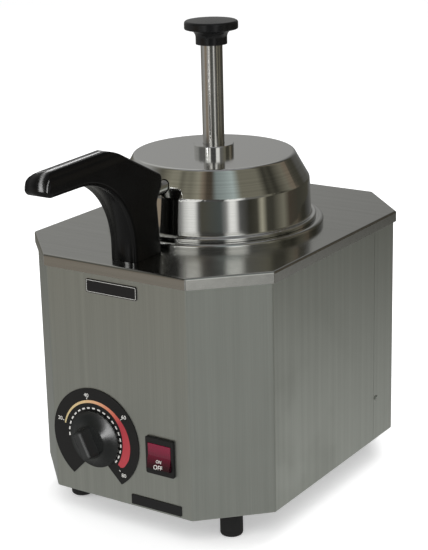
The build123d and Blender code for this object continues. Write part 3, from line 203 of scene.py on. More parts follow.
skin_group, start, end = new_group(
    "moulded_skin", [("Scale", "NodeSocketFloat", 1400.0)], ["Tone", "Height"])
skin_place = scaled_place(skin_group, (1.0, 1.0, 1.0))
dimples = noise(skin_group, skin_place, start.outputs["Scale"], 2.0)
flow = noise(skin_group, skin_place, 38.0, 3.0)
feed(skin_group, spread(skin_group, flow, 0.3, 0.7), end.inputs["Tone"])
feed(skin_group, dimples, end.inputs["Height"])
print("groups", smudge_group.name, "and", skin_group.name, "ready")

# %% [markdown]
# A finish is one Principled shader. This helper sets the numbers that are the same all over straight on the
# shader's sockets, and lets the groups drive only colour, roughness and bump.

# %% A finish starter
finishes = {}


def new_finish(name, colour, roughness, metallic=0.0, **sockets):
    material = bpy.data.materials.new(name)
    material.use_nodes = True
    tree = material.node_tree
    shader = tree.nodes["Principled BSDF"]
    shader.inputs["Base Color"].default_value = (*colour, 1.0)
    shader.inputs["Roughness"].default_value = roughness
    shader.inputs["Metallic"].default_value = metallic
    for title, value in sockets.items():
        shader.inputs[title.replace("_", " ")].default_value = value
    material.diffuse_color = (*colour, 1.0)
    finishes[name] = material
    return tree, shader


def place_group(tree, group, **values):
    node = add(tree, "ShaderNodeGroup", node_tree=group)
    for title, value in values.items():
        feed(tree, value, node.inputs[title])
    return node


def two_tone(tree, shader, share, dark, light):
    blend = add(tree, "ShaderNodeMix", data_type="RGBA")
    feed(tree, share, blend.inputs["Factor"])
    feed(tree, (*dark, 1.0), blend.inputs["A"])
    feed(tree, (*light, 1.0), blend.inputs["B"])
    feed(tree, blend.outputs["Result"], shader.inputs["Base Color"])


def raise_bump(tree, shader, height, depth, strength=1.0):
    bump = add(tree, "ShaderNodeBump")
    feed(tree, strength, bump.inputs["Strength"])
    feed(tree, depth, bump.inputs["Distance"])
    feed(tree, height, bump.inputs["Height"])
    feed(tree, bump.outputs["Normal"], shader.inputs["Normal"])


def shade(colour, share):
    return tuple(channel * share for channel in colour)


print("finish starter ready")

# %% [markdown]
# The casing is bent from one gauge of brushed stainless steel with its grain standing upright. Brushing
# scatters light sideways across the scratches, which the shader's anisotropy gives. The grain group varies
# the tone from line to line, and the wiped patches make the steel a little duller here and there.

# %% Brushed steel for the casing and the deck
casing_colour = (0.485, 0.507, 0.468)


def brushed_steel(name, colour, roughness, stretch, spread_share, contrast=0.1, depth=0.00002, turn=0.0):
    tree, shader = new_finish(name, colour, roughness, metallic=1.0, Anisotropic=spread_share,
                              Anisotropic_Rotation=turn)
    grain = place_group(tree, grain_group, Stretch=stretch)
    wiped = place_group(tree, smudge_group)
    two_tone(tree, shader, grain.outputs["Tone"], shade(colour, 1 - contrast), shade(colour, 1 + contrast))
    raise_bump(tree, shader, grain.outputs["Height"], depth, 0.5)
    duller = maths(tree, "ADD", maths(tree, "MULTIPLY", wiped.outputs["Mask"], 0.06), roughness)
    feed(tree, duller, shader.inputs["Roughness"])
    return tree, shader, duller


brushed_steel("casing_steel", casing_colour, 0.36, (2400.0, 2400.0, 14.0), 0.5)
print("casing finish has", len(finishes["casing_steel"].node_tree.nodes), "nodes")

# %% [markdown]
# The deck is the same steel with the grain running from side to side. Its turned-down skirt was polished
# after bending, so it mirrors more sharply than the top. A mask from the height of the surface makes the
# change, just below the deck's top.

# %% The deck's two finishes in one material
deck_low, deck_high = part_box("top_deck")
tree, shader, top_roughness = brushed_steel(
    "deck_steel", (0.47, 0.47, 0.445), 0.18, (14.0, 2400.0, 2400.0), 0.4, 0.08, 0.000006, 0.25)
_, _, height_here = place_parts(tree)
on_skirt = spread(tree, height_here, deck_high.z - 1.2 * mm, deck_high.z - 0.3 * mm, 1.0, 0.0, smooth=True)
skirt_roughness = add(tree, "ShaderNodeMix", data_type="FLOAT")
feed(tree, on_skirt, skirt_roughness.inputs["Factor"])
feed(tree, top_roughness, skirt_roughness.inputs["A"])
feed(tree, 0.19, skirt_roughness.inputs["B"])
feed(tree, skirt_roughness.outputs["Result"], shader.inputs["Roughness"])
print("deck top at", round(deck_high.z, 4), "skirt bottom at", round(deck_low.z, 4))

# %% [markdown]
# The pump lid is spun and then buffed almost to a mirror on its cone and wall, while the flat top keeps more
# of the buffing rings. The collar above it has the same finish and is as bright as the wall. Turned rings
# scatter light along the profile and not round it, so the anisotropy is turned a quarter of a full turn.

# %% Spun steel for the lid, tubes and well
lid_low, lid_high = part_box("pump_lid")


def spun_steel(name, colour, roughness, pitch, centre, contrast=0.06, depth=0.000008, along=0.5):
    tree, shader = new_finish(name, colour, roughness, metallic=1.0, Anisotropic=along,
                              Anisotropic_Rotation=0.25)
    rings = place_group(tree, rings_group, Pitch=pitch, Centre=centre)
    wiped = place_group(tree, smudge_group, Scale=22.0)
    two_tone(tree, shader, rings.outputs["Tone"], shade(colour, 1 - contrast), shade(colour, 1 + contrast))
    raise_bump(tree, shader, rings.outputs["Height"], depth, 0.5)
    duller = maths(tree, "ADD", maths(tree, "MULTIPLY", wiped.outputs["Mask"], 0.03), roughness)
    feed(tree, duller, shader.inputs["Roughness"])
    return tree, shader, duller


well_axis = (0.0, (lid_low.y + lid_high.y) / 2, 0.0)
tree, shader, wall_roughness = spun_steel("lid_steel", (0.74, 0.74, 0.72), 0.07, 1400.0, well_axis)
_, _, lid_height = place_parts(tree)
lid_top = lid_high.z
on_top = spread(tree, lid_height, lid_top - 0.6 * mm, lid_top - 0.1 * mm, 0.0, 0.05, smooth=True)
below_collar = spread(tree, lid_height, lid_top + 0.4 * mm, lid_top + 1.0 * mm, 1.0, 0.0, smooth=True)
feed(tree, maths(tree, "ADD", wall_roughness, maths(tree, "MULTIPLY", on_top, below_collar)),
     shader.inputs["Roughness"])
spun_steel("tube_steel", (0.62, 0.61, 0.585), 0.19, 2600.0, well_axis)
tree, shader, well_roughness = spun_steel(
    "well_steel", (0.60, 0.60, 0.58), 0.3, 700.0, well_axis, 0.1, 0.00001)
_, _, rim_height = place_parts(tree)
on_rim = spread(tree, rim_height, deck_high.z - 3.0 * mm, deck_high.z, 0.0, 0.18)
feed(tree, maths(tree, "SUBTRACT", well_roughness, on_rim), shader.inputs["Roughness"])
spun_steel("valve_steel", (0.60, 0.60, 0.57), 0.18, 1800.0, well_axis)
post_low, post_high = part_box("heater_post")
post_axis = (0.0, (post_low.y + post_high.y) / 2, 0.0)
spun_steel("cartridge_steel", (0.50, 0.49, 0.47), 0.28, 2200.0, post_axis)
print("lid from", round(lid_low.z, 4), "to", round(lid_high.z, 4))

# %% [markdown]
# The smaller metal parts are plated sheet, screws, a wound spring, a sheathed heating element, a copper
# bulb and a brass shaft. They only show when the pump is lifted or from below, but each still gets grain
# and its own colour.

# %% Plated, fastener and heater metals
brushed_steel("plated_steel", (0.55, 0.56, 0.57), 0.4, (600.0, 40.0, 600.0), 0.0, 0.16, 0.00003)
brushed_steel("fastener_steel", (0.58, 0.58, 0.56), 0.26, (900.0, 900.0, 900.0), 0.0, 0.12)
brushed_steel("spring_steel", (0.56, 0.55, 0.52), 0.22, (900.0, 900.0, 900.0), 0.0, 0.1)
brushed_steel("element_sheath", (0.20, 0.17, 0.15), 0.45, (500.0, 500.0, 500.0), 0.0, 0.3, 0.00004)
brushed_steel("bulb_copper", (0.72, 0.36, 0.22), 0.3, (700.0, 700.0, 700.0), 0.0, 0.16)
brushed_steel("shaft_brass", (0.70, 0.53, 0.26), 0.28, (900.0, 900.0, 900.0), 0.0, 0.12)
print("metal finishes:", len(finishes))

# %% [markdown]
# The shroud, the knobs and the switch are black moulded plastic. The shroud is the glossiest, because its
# crest shows a sharp bright line. A moulded skin breaks the reflection very slightly, and the specular
# level keeps the plain faces nearly black.

# %% Black and coloured plastics
def moulded(name, colour, roughness, scale=1400.0, depth=0.00002, contrast=0.12, **sockets):
    tree, shader = new_finish(name, colour, roughness, **sockets)
    skin = place_group(tree, skin_group, Scale=scale)
    two_tone(tree, shader, skin.outputs["Tone"], shade(colour, 1 - contrast), shade(colour, 1 + contrast))
    raise_bump(tree, shader, skin.outputs["Height"], depth, 0.4)
    rougher = spread(tree, skin.outputs["Tone"], 0.0, 1.0, roughness * 0.9, roughness * 1.15)
    feed(tree, rougher, shader.inputs["Roughness"])
    return tree, shader


moulded("shroud_black", (0.0030, 0.0030, 0.0030), 0.17, 1500.0, 0.000003, Specular_IOR_Level=0.2)
moulded("knob_black", (0.0050, 0.0052, 0.0055), 0.24, 1500.0, 0.000004, Specular_IOR_Level=0.35)
tree, shader = moulded("dial_knob_black", (0.0075, 0.0085, 0.0080), 0.27, 1800.0, 0.000005,
                       Specular_IOR_Level=0.35)
_, knob_depth, _ = place_parts(tree)
hub_depth = 8.6 * mm
hub_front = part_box("dial_plate")[0].y - hub_depth
on_grip = spread(tree, knob_depth, hub_front - 0.2 * mm, hub_front, 0.32, 0.0)
feed(tree, maths(tree, "ADD", shader.inputs["Roughness"].links[0].from_socket, on_grip),
     shader.inputs["Roughness"])
moulded("dial_black", (0.006, 0.006, 0.006), 0.38, 2600.0, 0.000004, Specular_IOR_Level=0.4)
moulded("switch_black", (0.006, 0.006, 0.006), 0.32, 1800.0, 0.00001, Specular_IOR_Level=0.4)
moulded("plate_black", (0.006, 0.006, 0.0065), 0.3, 2600.0, 0.000004, Specular_IOR_Level=0.4)
moulded("gland_black", (0.014, 0.014, 0.014), 0.45, 1600.0, 0.00003)
moulded("thermostat_case", (0.05, 0.048, 0.045), 0.42, 1500.0, 0.00003)
moulded("block_cream", (0.72, 0.66, 0.52), 0.4, 1200.0, 0.00003, 0.05)
moulded("lead_red", (0.45, 0.03, 0.02), 0.42, 1500.0, 0.00002)
moulded("piston_plastic", (0.72, 0.72, 0.68), 0.38, 1200.0, 0.00002, 0.04)
print("plastics:", [name for name in finishes if name.endswith("black")])

# %% [markdown]
# The spout shroud's arm and nose are drawn a little rounder than their flats: a bump whose height falls with
# the square of the distance from the middle turns the normals outward, as on a crowned moulding.

# %% The shroud's crowned shading
tree = finishes["shroud_black"].node_tree
shader = tree.nodes["Principled BSDF"]
from_middle, _, _ = place_parts(tree)
flat_half, crown_bend = 9.4 * mm, 16.0 * mm
squared = maths(tree, "MULTIPLY", from_middle, from_middle)
held = maths(tree, "MINIMUM", squared, flat_half ** 2)
crowned = add(tree, "ShaderNodeBump")
feed(tree, shader.inputs["Normal"].links[0].from_socket, crowned.inputs["Normal"])
feed(tree, 1.0, crowned.inputs["Distance"])
feed(tree, maths(tree, "DIVIDE", held, -2 * crown_bend), crowned.inputs["Height"])
feed(tree, crowned.outputs["Normal"], shader.inputs["Normal"])
print("shroud crown bends over", round(2 * flat_half / mm, 1), "mm")

# %% [markdown]
# The feet and the piston's ring are rubber: dark, dull and with a coarser skin. The rocker is clear red
# plastic over a lamp window, so it gets a deep crimson with a glossy coat. Its colour is painted lighter
# towards its top and darker towards its bottom: painted light and shade.

# %% Rubber and the red rocker
moulded("foot_rubber", (0.009, 0.009, 0.009), 0.72, 900.0, 0.00006, 0.2)
moulded("seal_rubber", (0.012, 0.011, 0.010), 0.6, 1200.0, 0.00004, 0.15)

tree, shader = new_finish("rocker_red", (0.10, 0.003, 0.015), 0.24, Coat_Weight=0.25, Coat_Roughness=0.1)
rocker_low, rocker_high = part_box("switch_rocker")
_, _, rocker_height = place_parts(tree)
# Painted light and shade: the crimson is painted near black at the rocker's bottom and bright at its top.
painted_light_toward_top = spread(tree, rocker_height, rocker_low.z, rocker_high.z, smooth=True)
two_tone(tree, shader, painted_light_toward_top, (0.014, 0.0020, 0.0045), (0.160, 0.0045, 0.026))
skin = place_group(tree, skin_group, Scale=1500.0)
raise_bump(tree, shader, skin.outputs["Height"], 0.00001, 0.4)
feed(tree, spread(tree, skin.outputs["Tone"], 0.0, 1.0, 0.16, 0.24), shader.inputs["Roughness"])
print("rocker", round((rocker_high.z - rocker_low.z) / mm, 1), "mm tall")

# %% [markdown]
# The record lists which nodes share a finish. Reading that list, rather than typing it again, keeps the
# looks and the solids in step: each node's own material slots are pointed at the finish of that name.

# %% Give every solid its finish
def dress(piece, finish):
    if not piece.material_slots:
        piece.data.materials.append(finishes[finish])
    for slot in piece.material_slots:
        slot.material = finishes[finish]


for entry in frame["record"]["subparts"]:
    dress(frame["nodes"][entry["node"]], entry["material_slot"])
bare = [name for name, piece in frame["nodes"].items()
        if piece.material_slots[0].material.name not in finishes]
print("dressed", len(frame["nodes"]) - len(bare), "solids, left bare:", bare)

# %% [markdown]
# The dial is printed. Prints are thin layers of ink that stand a few hundredths of a millimetre proud, so
# each is a thin mesh just in front of the plate. Places on the dial are given as an angle and a distance
# from its centre, counted from three o'clock, the other way to a clock's hands.

# %% Print helpers for the front panel
knob_x, _, knob_z = joints["dial_knob_turn"]["pos_m"]
dial_centre = Vector((knob_x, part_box("dial_plate")[0].y, knob_z))
print_shift = Vector((-0.9 * mm, 0, 0))
ink = 0.08 * mm


def on_dial(angle, radius):
    turn = radians(angle)
    return dial_centre + print_shift + Vector((cos(turn) * radius * mm, 0, sin(turn) * radius * mm))


def thin_print(name, outlines, front, thickness=ink):
    """Closed outlines of (x, z) pairs become thin plates whose face stands in front of y = front."""
    mesh = bmesh.new()
    for outline in outlines:
        corners = [mesh.verts.new((x, front, z)) for x, z in outline]
        moved = bmesh.ops.extrude_face_region(mesh, geom=[mesh.faces.new(corners)])
        bmesh.ops.translate(
            mesh, vec=(0, -thickness, 0),
            verts=[item for item in moved["geom"] if isinstance(item, bmesh.types.BMVert)])
    bmesh.ops.recalc_face_normals(mesh, faces=mesh.faces)
    data = bpy.data.meshes.new(name)
    mesh.to_mesh(data)
    mesh.free()
    piece = bpy.data.objects.new(name, data)
    bpy.context.scene.collection.objects.link(piece)
    return piece


def finish_piece(piece, finish, body):
    piece.data.materials.clear()
    piece.data.materials.append(finishes[finish])
    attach(piece, body)
    print(piece.name, "has", len(piece.data.vertices), "points and rides on", body)


# %% [markdown]
# White ink isn't pure white: it is slightly cream and thin enough for the black to dull it in places. The
# heat band's colour runs with the angle, from straw through orange to red, so its material turns each
# point's place into an angle and reads a colour ramp.

# %% Inks
tree, shader = new_finish("pale_ink", (0.78, 0.77, 0.72), 0.5)
thin_ink = place_group(tree, skin_group, Scale=3000.0)
two_tone(tree, shader, thin_ink.outputs["Height"], (0.48, 0.47, 0.44), (0.74, 0.73, 0.69))
raise_bump(tree, shader, thin_ink.outputs["Height"], 0.00001, 0.3)

tree, shader = new_finish("heat_ink", (0.6, 0.1, 0.08), 0.45)
sideways, _, upward = place_parts(tree)
around = maths(tree, "ARCTAN2", maths(tree, "SUBTRACT", upward, on_dial(0, 0).z),
               maths(tree, "SUBTRACT", sideways, on_dial(0, 0).x))
heat_end, heat_start = -39.0, 166.0
heat = add(tree, "ShaderNodeValToRGB")
feed(tree, spread(tree, around, radians(heat_start), radians(heat_end)), heat.inputs[0])
heat_stops = [
    (0.0, (0.46, 0.38, 0.19)), (0.28, (0.52, 0.37, 0.18)), (0.45, (0.52, 0.23, 0.12)),
    (0.56, (0.46, 0.10, 0.06)), (0.64, (0.32, 0.022, 0.032)), (1.0, (0.40, 0.030, 0.042)),
]
while len(heat.color_ramp.elements) < len(heat_stops):
    heat.color_ramp.elements.new(0.5)
for element, (position, colour) in zip(heat.color_ramp.elements, heat_stops):
    element.position = position
    element.color = (*colour, 1.0)
feed(tree, heat.outputs["Color"], shader.inputs["Base Color"])
ink_skin = place_group(tree, skin_group, Scale=3000.0)
raise_bump(tree, shader, ink_skin.outputs["Height"], 0.00001, 0.3)
print("inks ready, heat band over", heat_start - heat_end, "degrees")

# %% [markdown]
# The heat band is narrow at the cool end and widest a little below three o'clock, where its inner edge
# also comes closer to the dashes. Both edges follow one short table of angle, inner radius and outer radius,
# with straight steps between its lines, and the outline between them becomes one thin plate.

# %% The heat band
band_table = [
    (heat_start, 31.0, 32.3), (90.0, 31.0, 33.6), (60.0, 31.0, 34.0), (45.0, 30.4, 34.3), (30.0, 29.8, 35.0),
    (15.0, 29.1, 35.6), (0.0, 28.6, 36.1), (-20.0, 28.6, 36.3), (-35.0, 29.1, 35.0), (heat_end, 29.5, 33.0),
]


def band_edges(angle):
    for (high, *from_radii), (low, *to_radii) in zip(band_table, band_table[1:]):
        if low <= angle <= high:
            share = (high - angle) / (high - low)
            return [start + (end - start) * share for start, end in zip(from_radii, to_radii)]


steps = 120
angles = [heat_start + (heat_end - heat_start) * step / steps for step in range(steps + 1)]
edge = [on_dial(angle, band_edges(angle)[1]) for angle in angles]
edge += [on_dial(angle, band_edges(angle)[0]) for angle in reversed(angles)]
finish_piece(thin_print("dial_heat_band", [[(point.x, point.z) for point in edge]], dial_centre.y),
             "heat_ink", "casing")

# %% [markdown]
# Twenty dashes follow the knob's edge, and four short ticks join the band to its numbers. Each is a small
# bar across or along the radius, so one helper draws a bar from an angle, two radii and a width.

# %% Dashes and ticks
def bar(angle, inner, outer, width):
    along = on_dial(angle, 1.0) - on_dial(angle, 0.0)
    side = Vector((-along.z, 0, along.x)).normalized() * width * mm / 2
    near, far = on_dial(angle, inner), on_dial(angle, outer)
    return [(point.x, point.z) for point in (near - side, far - side, far + side, near + side)]


dash_start, dash_end, dash_count = 183.0, -37.5, 20
dash_angles = [dash_start - (dash_start - dash_end) * step / (dash_count - 1) for step in range(dash_count)]
finish_piece(thin_print("dial_dashes", [bar(angle, 25.9, 27.2, 2.9) for angle in dash_angles],
                        dial_centre.y), "pale_ink", "casing")
number_angles = {"20": 163.0, "40": 101.0, "60": 39.0, "80": -44.0}
tick_starts = {"20": 33.2, "40": 34.2, "60": 35.2, "80": 33.4}
tick_length, tick_width = 1.6, 0.5
ticks = [bar(angle, tick_starts[words], tick_starts[words] + tick_length, tick_width)
         for words, angle in number_angles.items()]
finish_piece(thin_print("dial_ticks", ticks, dial_centre.y, ink * 1.5), "pale_ink", "casing")

# %% [markdown]
# Numbers come from Blender's text object, which already knows the shapes of digits. It is turned into a
# mesh and stood up against the panel, because a mesh keeps its place in every later step.

# %% Numbers round the dial
stroke_gain = 0.004


def panel_text(name, lines, depth=ink):
    """Each line is (words, size in mm, centre x, centre z, back y); all become one thin mesh."""
    joined = bmesh.new()
    for words, size, centre_x, centre_z, back in lines:
        text = bpy.data.curves.new(name + "_text", "FONT")
        text.body = words
        text.size = size * mm
        text.align_x = "CENTER"
        text.align_y = "CENTER"
        text.extrude = depth / 2
        text.offset = stroke_gain * size * mm
        text.resolution_u = 3
        holder = bpy.data.objects.new(name + "_holder", text)
        bpy.context.scene.collection.objects.link(holder)
        shapes = bpy.data.meshes.new_from_object(
            holder.evaluated_get(bpy.context.evaluated_depsgraph_get()))
        stand = Matrix.Translation((centre_x, back - depth / 2, centre_z)) @ Matrix.Rotation(pi / 2, 4, "X")
        shapes.transform(stand)
        joined.from_mesh(shapes)
        bpy.data.objects.remove(holder)
        bpy.data.curves.remove(text)
        bpy.data.meshes.remove(shapes)
    data = bpy.data.meshes.new(name)
    joined.to_mesh(data)
    joined.free()
    piece = bpy.data.objects.new(name, data)
    bpy.context.scene.collection.objects.link(piece)
    return piece


number_size = 4.8
number_radii = {"20": 37.6, "40": 37.6, "60": 39.6, "80": 39.6}
number_lines = []
for words, angle in number_angles.items():
    spot = on_dial(angle, number_radii[words])
    number_lines.append((words, number_size, spot.x, spot.z, dial_centre.y))
finish_piece(panel_text("dial_numbers", number_lines), "pale_ink", "casing")

# %% [markdown]
# Letters on a tilted or curved solid would float over it if they stayed flat. So they are drawn about the
# plane y = 0, and then each point is moved straight back by as far as the solid's surface lies behind it.

# %% Lay thin pieces on a curved solid
ray_start = -0.3


def lay_on(piece, node):
    """Moves each point by the y of the node's front surface there, and counts the points that miss it."""
    solid = frame["nodes"][node].data
    surface = BVHTree.FromPolygons(
        [vertex.co for vertex in solid.vertices], [tuple(face.vertices) for face in solid.polygons])
    missed = 0
    for vertex in piece.data.vertices:
        hit = surface.ray_cast(Vector((vertex.co.x, ray_start, vertex.co.z)), Vector((0, 1, 0)))[0]
        if hit is None:
            missed += 1
        else:
            vertex.co.y += hit.y
    piece.data.update()
    return missed


print("solids can now be printed on")

# %% [markdown]
# The rocker's lower half carries its two positions in two short rows, ON above OFF, and the letters lean
# with the rocker because they are laid on it. They are sunk half their depth, so that none of their straight
# strokes dips under the rocker's curve.

# %% Letters on the rocker
rocker_x = (rocker_low.x + rocker_high.x) / 2
letter_depth = 0.5 * mm
marks = panel_text("rocker_marks", [
    (words, size, rocker_x, height * mm, letter_depth / 2)
    for words, size, height in (("ON", 3.4, 73.6), ("OFF", 5.0, 68.9))], letter_depth)
print("letter points that missed the rocker:", lay_on(marks, "switch_rocker"))
finish_piece(marks, "pale_ink", "rocker")

# %% [markdown]
# The return spring's foot stays with the pump and its top goes down with the plunger. The solid rides on one
# body only, so a copy of its mesh stands for it and rides on the pump.

# %% The return spring
coil = bpy.data.objects.new("coil_spring", frame["nodes"]["return_spring"].data.copy())
bpy.context.scene.collection.objects.link(coil)
finish_piece(coil, "spring_steel", "pump")
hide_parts("return_spring")
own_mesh(coil)

# %% [markdown]
# The two black plates on the front are bare. The upper one has a fine pale line just inside its edge, which
# is drawn as a narrow frame with rounded corners: an outer ring of points and an inner ring, joined by quads.

# %% The pale line on the upper plate
def rounded_ring(low, high, inset, corner):
    points = []
    for index, (x_side, z_side) in enumerate([(1, 1), (0, 1), (0, 0), (1, 0)]):
        x = (high.x - inset - corner) if x_side else (low.x + inset + corner)
        z = (high.z - inset - corner) if z_side else (low.z + inset + corner)
        for step in range(7):
            turn = radians(90 * index + 15 * step)
            points.append((x + corner * cos(turn), z + corner * sin(turn)))
    return points


def plate_line(name, node, inset, width, corner):
    low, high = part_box(node)
    outer = rounded_ring(low, high, inset, corner)
    inner = rounded_ring(low, high, inset + width, max(corner - width, 0.1 * mm))
    count = len(outer)
    quads = [[outer[k], outer[(k + 1) % count], inner[(k + 1) % count], inner[k]] for k in range(count)]
    return thin_print(name, quads, low.y, ink)


finish_piece(plate_line("upper_plate_line", "upper_plate", 0.7 * mm, 0.28 * mm, 1.0 * mm),
             "pale_ink", "casing")

# %% [markdown]
# The floor is a wide pale disc just under the feet. It is part of the stage. It
# stays out of mirror reflections, where the painted studio below shows instead, as the dark sweep of a real
# product table would.

# %% The pale floor
floor_radius, floor_drop = 30.0, 0.2 * mm
mesh = bmesh.new()
bmesh.ops.create_circle(mesh, cap_ends=True, segments=96, radius=floor_radius)
data = bpy.data.meshes.new("pale_floor")
mesh.to_mesh(data)
mesh.free()
floor = bpy.data.objects.new("pale_floor", data)
floor.location = (0, 0, -floor_drop)
bpy.context.scene.collection.objects.link(floor)
tree, shader = new_finish("floor_paper", (0.9, 0.9, 0.895), 0.9, Emission_Strength=0.31)
shader.inputs["Emission Color"].default_value = (1.0, 1.0, 1.0, 1.0)
paper = place_group(tree, skin_group, Scale=90.0)
two_tone(tree, shader, paper.outputs["Height"], (0.89, 0.89, 0.885), (0.91, 0.91, 0.905))
floor.data.materials.append(finishes["floor_paper"])
floor.visible_glossy = False
print("floor radius", floor_radius, "m")

# %% [markdown]
# Polished steel looks like whatever stands around it, so the room has to be painted as carefully as the
# part. The world is white to the camera, a soft grey to dull surfaces, and to mirrors it is a studio of
# tall lamps, dark gaps and a pale table. Mirrors see it by compass direction and height: a colour ramp
# round the compass holds one belt of the room, and heights blend the belts.

# %% The studio that the steel mirrors
world = bpy.data.worlds.new("soft_studio")
bpy.context.scene.world = world
world.use_nodes = True
world.cycles.sampling_method = "NONE"
sky = world.node_tree
sky.nodes.clear()
toward = add(sky, "ShaderNodeSeparateXYZ")
feed(sky, add(sky, "ShaderNodeTexCoord").outputs["Generated"], toward.inputs[0])
compass = maths(sky, "ARCTAN2", toward.outputs[0], maths(sky, "MULTIPLY", toward.outputs[1], -1.0))
compass_share = maths(sky, "ADD", maths(sky, "DIVIDE", compass, 2 * pi), 0.5)
height = maths(sky, "DEGREES", maths(sky, "ARCSINE", toward.outputs[2]))


neutral, warm, brown, cool = (1.0, 1.0, 0.98), (1.05, 1.0, 0.78), (1.22, 1.0, 0.76), (0.86, 1.0, 0.98)


def belt(stops):
    """One belt of the room: (compass degrees, brightness, tint) in order, from the rear round by the left."""
    ramp = add(sky, "ShaderNodeValToRGB")
    feed(sky, compass_share, ramp.inputs[0])
    while len(ramp.color_ramp.elements) < len(stops):
        ramp.color_ramp.elements.new(0.5)
    for element, (angle, brightness, tint) in zip(ramp.color_ramp.elements, stops):
        element.position = (angle + 180) / 360
        element.color = (*shade(tint, brightness), 1.0)
    return ramp.outputs["Color"]


def blend_belts(low_belt, high_belt, bottom, top):
    blend = add(sky, "ShaderNodeMix", data_type="RGBA")
    feed(sky, spread(sky, height, bottom, top, smooth=True), blend.inputs["Factor"])
    feed(sky, low_belt, blend.inputs["A"])
    feed(sky, high_belt, blend.inputs["B"])
    return blend.outputs["Result"]


table_belt = belt([
    (-180, 0.34, neutral), (-80, 0.34, neutral), (-60, 0.40, neutral), (-15, 0.38, neutral),
    (20, 0.36, neutral), (45, 0.42, neutral), (75, 0.40, neutral), (110, 0.34, neutral),
    (130, 0.60, neutral), (160, 0.60, neutral), (180, 0.34, neutral)])
lamp_belt = belt([
    (-180, 0.06, warm), (-165, 0.14, neutral), (-150, 0.16, neutral), (-138, 0.16, neutral),
    (-128, 0.12, warm), (-80, 0.30, neutral), (-54, 0.42, neutral), (-47, 0.24, brown), (-22, 0.23, brown),
    (-17, 0.35, neutral), (-14, 0.62, neutral), (-8, 0.20, neutral), (-3, 0.60, neutral), (3, 0.86, neutral),
    (9, 0.86, neutral), (14, 0.12, neutral), (17, 0.07, warm), (40, 0.08, cool), (46, 0.24, neutral),
    (51, 0.92, neutral), (56, 0.88, neutral), (62, 0.10, neutral), (74, 0.030, warm), (84, 0.055, warm),
    (90, 0.38, warm), (97, 0.05, warm), (105, 0.045, warm), (122, 0.18, warm), (132, 0.05, brown),
    (150, 0.045, warm), (180, 0.06, warm)])
wall_belt = belt([
    (-180, 0.12, neutral), (-165, 0.22, neutral), (-148, 0.33, neutral), (-130, 0.37, neutral),
    (-110, 0.36, neutral),
    (-70, 0.30, neutral), (-55, 0.14, neutral), (-18, 0.14, neutral), (-14, 0.80, neutral),
    (-9, 0.35, neutral), (-3, 0.95, neutral), (12, 0.95, neutral), (16, 0.08, neutral), (42, 0.07, neutral),
    (48, 1.0, neutral), (62, 1.0, neutral), (70, 0.15, neutral), (100, 0.17, warm), (109, 0.05, warm),
    (116, 0.07, warm), (122, 0.04, warm), (131, 0.11, warm), (138, 0.16, warm), (146, 0.15, brown),
    (157, 0.055, warm), (166, 0.05, warm), (180, 0.12, neutral)])
shelf_belt = belt([
    (-180, 0.16, neutral), (-168, 0.28, neutral), (-140, 0.60, neutral), (-100, 0.40, neutral),
    (-50, 0.10, warm), (-31, 0.24, warm), (-22, 0.23, warm), (-16, 0.13, warm), (-9, 0.19, warm),
    (-2, 0.17, warm), (9, 0.27, warm), (15, 0.17, brown), (22, 0.058, brown), (29, 0.055, brown),
    (36, 0.26, cool), (48, 0.34, cool), (60, 0.46, cool), (71, 0.17, warm), (98, 0.17, warm),
    (108, 0.04, warm), (114, 0.06, warm), (120, 0.035, warm), (130, 0.12, warm), (138, 0.16, brown),
    (149, 0.065, warm), (166, 0.055, neutral), (180, 0.16, neutral)])
room = blend_belts(table_belt, lamp_belt, -24.0, -13.0)
room = blend_belts(room, wall_belt, -3.0, 9.0)
room = blend_belts(room, shelf_belt, 22.0, 32.0)
ceiling = add(sky, "ShaderNodeRGB")
ceiling_grey = (0.24, 0.24, 0.25, 1.0)
ceiling.outputs[0].default_value = ceiling_grey
room = blend_belts(room, ceiling.outputs[0], 54.0, 66.0)
print("studio belts use", len(sky.nodes), "nodes")

# %% [markdown]
# A light path node tells which kind of ray asks. The camera gets plain white, mirrors get the painted room,
# and everything else gets an even grey that fills the shadows.

# %% White to the camera, grey to the rest
fill_grey, backdrop_white = (0.72, 0.72, 0.73, 1.0), (1.0, 1.0, 1.0, 1.0)
ray = add(sky, "ShaderNodeLightPath")
seen = add(sky, "ShaderNodeMix", data_type="RGBA")
feed(sky, ray.outputs["Is Glossy Ray"], seen.inputs["Factor"])
feed(sky, fill_grey, seen.inputs["A"])
feed(sky, room, seen.inputs["B"])
shown = add(sky, "ShaderNodeMix", data_type="RGBA")
feed(sky, ray.outputs["Is Camera Ray"], shown.inputs["Factor"])
feed(sky, seen.outputs["Result"], shown.inputs["A"])
feed(sky, backdrop_white, shown.inputs["B"])
glow = add(sky, "ShaderNodeBackground")
feed(sky, shown.outputs["Result"], glow.inputs["Color"])
ground = add(sky, "ShaderNodeOutputWorld")
feed(sky, glow.outputs[0], ground.inputs["Surface"])
print("world", world.name, "ready")

# %% [markdown]
# Three large area lamps shape the dull surfaces: a key from the front right, a weaker fill from the left
# and a broad one from above and behind. They are big, so shadows stay soft, and they don't show in the
# mirrors, which have their own lamps.

# %% Soft lamps
def area_lamp(name, shape, energy, place, turn):
    """An area lamp that the camera doesn't see."""
    lamp = bpy.data.lights.new(name, "AREA")
    lamp.shape = shape
    lamp.energy = energy
    holder = bpy.data.objects.new(name, lamp)
    holder.location = place
    holder.rotation_euler = turn.to_euler()
    holder.visible_camera = False
    bpy.context.scene.collection.objects.link(holder)
    return lamp, holder


def soft_lamp(name, place, target, size, power):
    toward_target = Vector(target) - Vector(place)
    lamp, holder = area_lamp(name, "DISK", power, place, toward_target.to_track_quat("-Z", "Y"))
    lamp.size = size
    holder.visible_glossy = False
    print(name, "is", round(toward_target.length, 2), "m away")


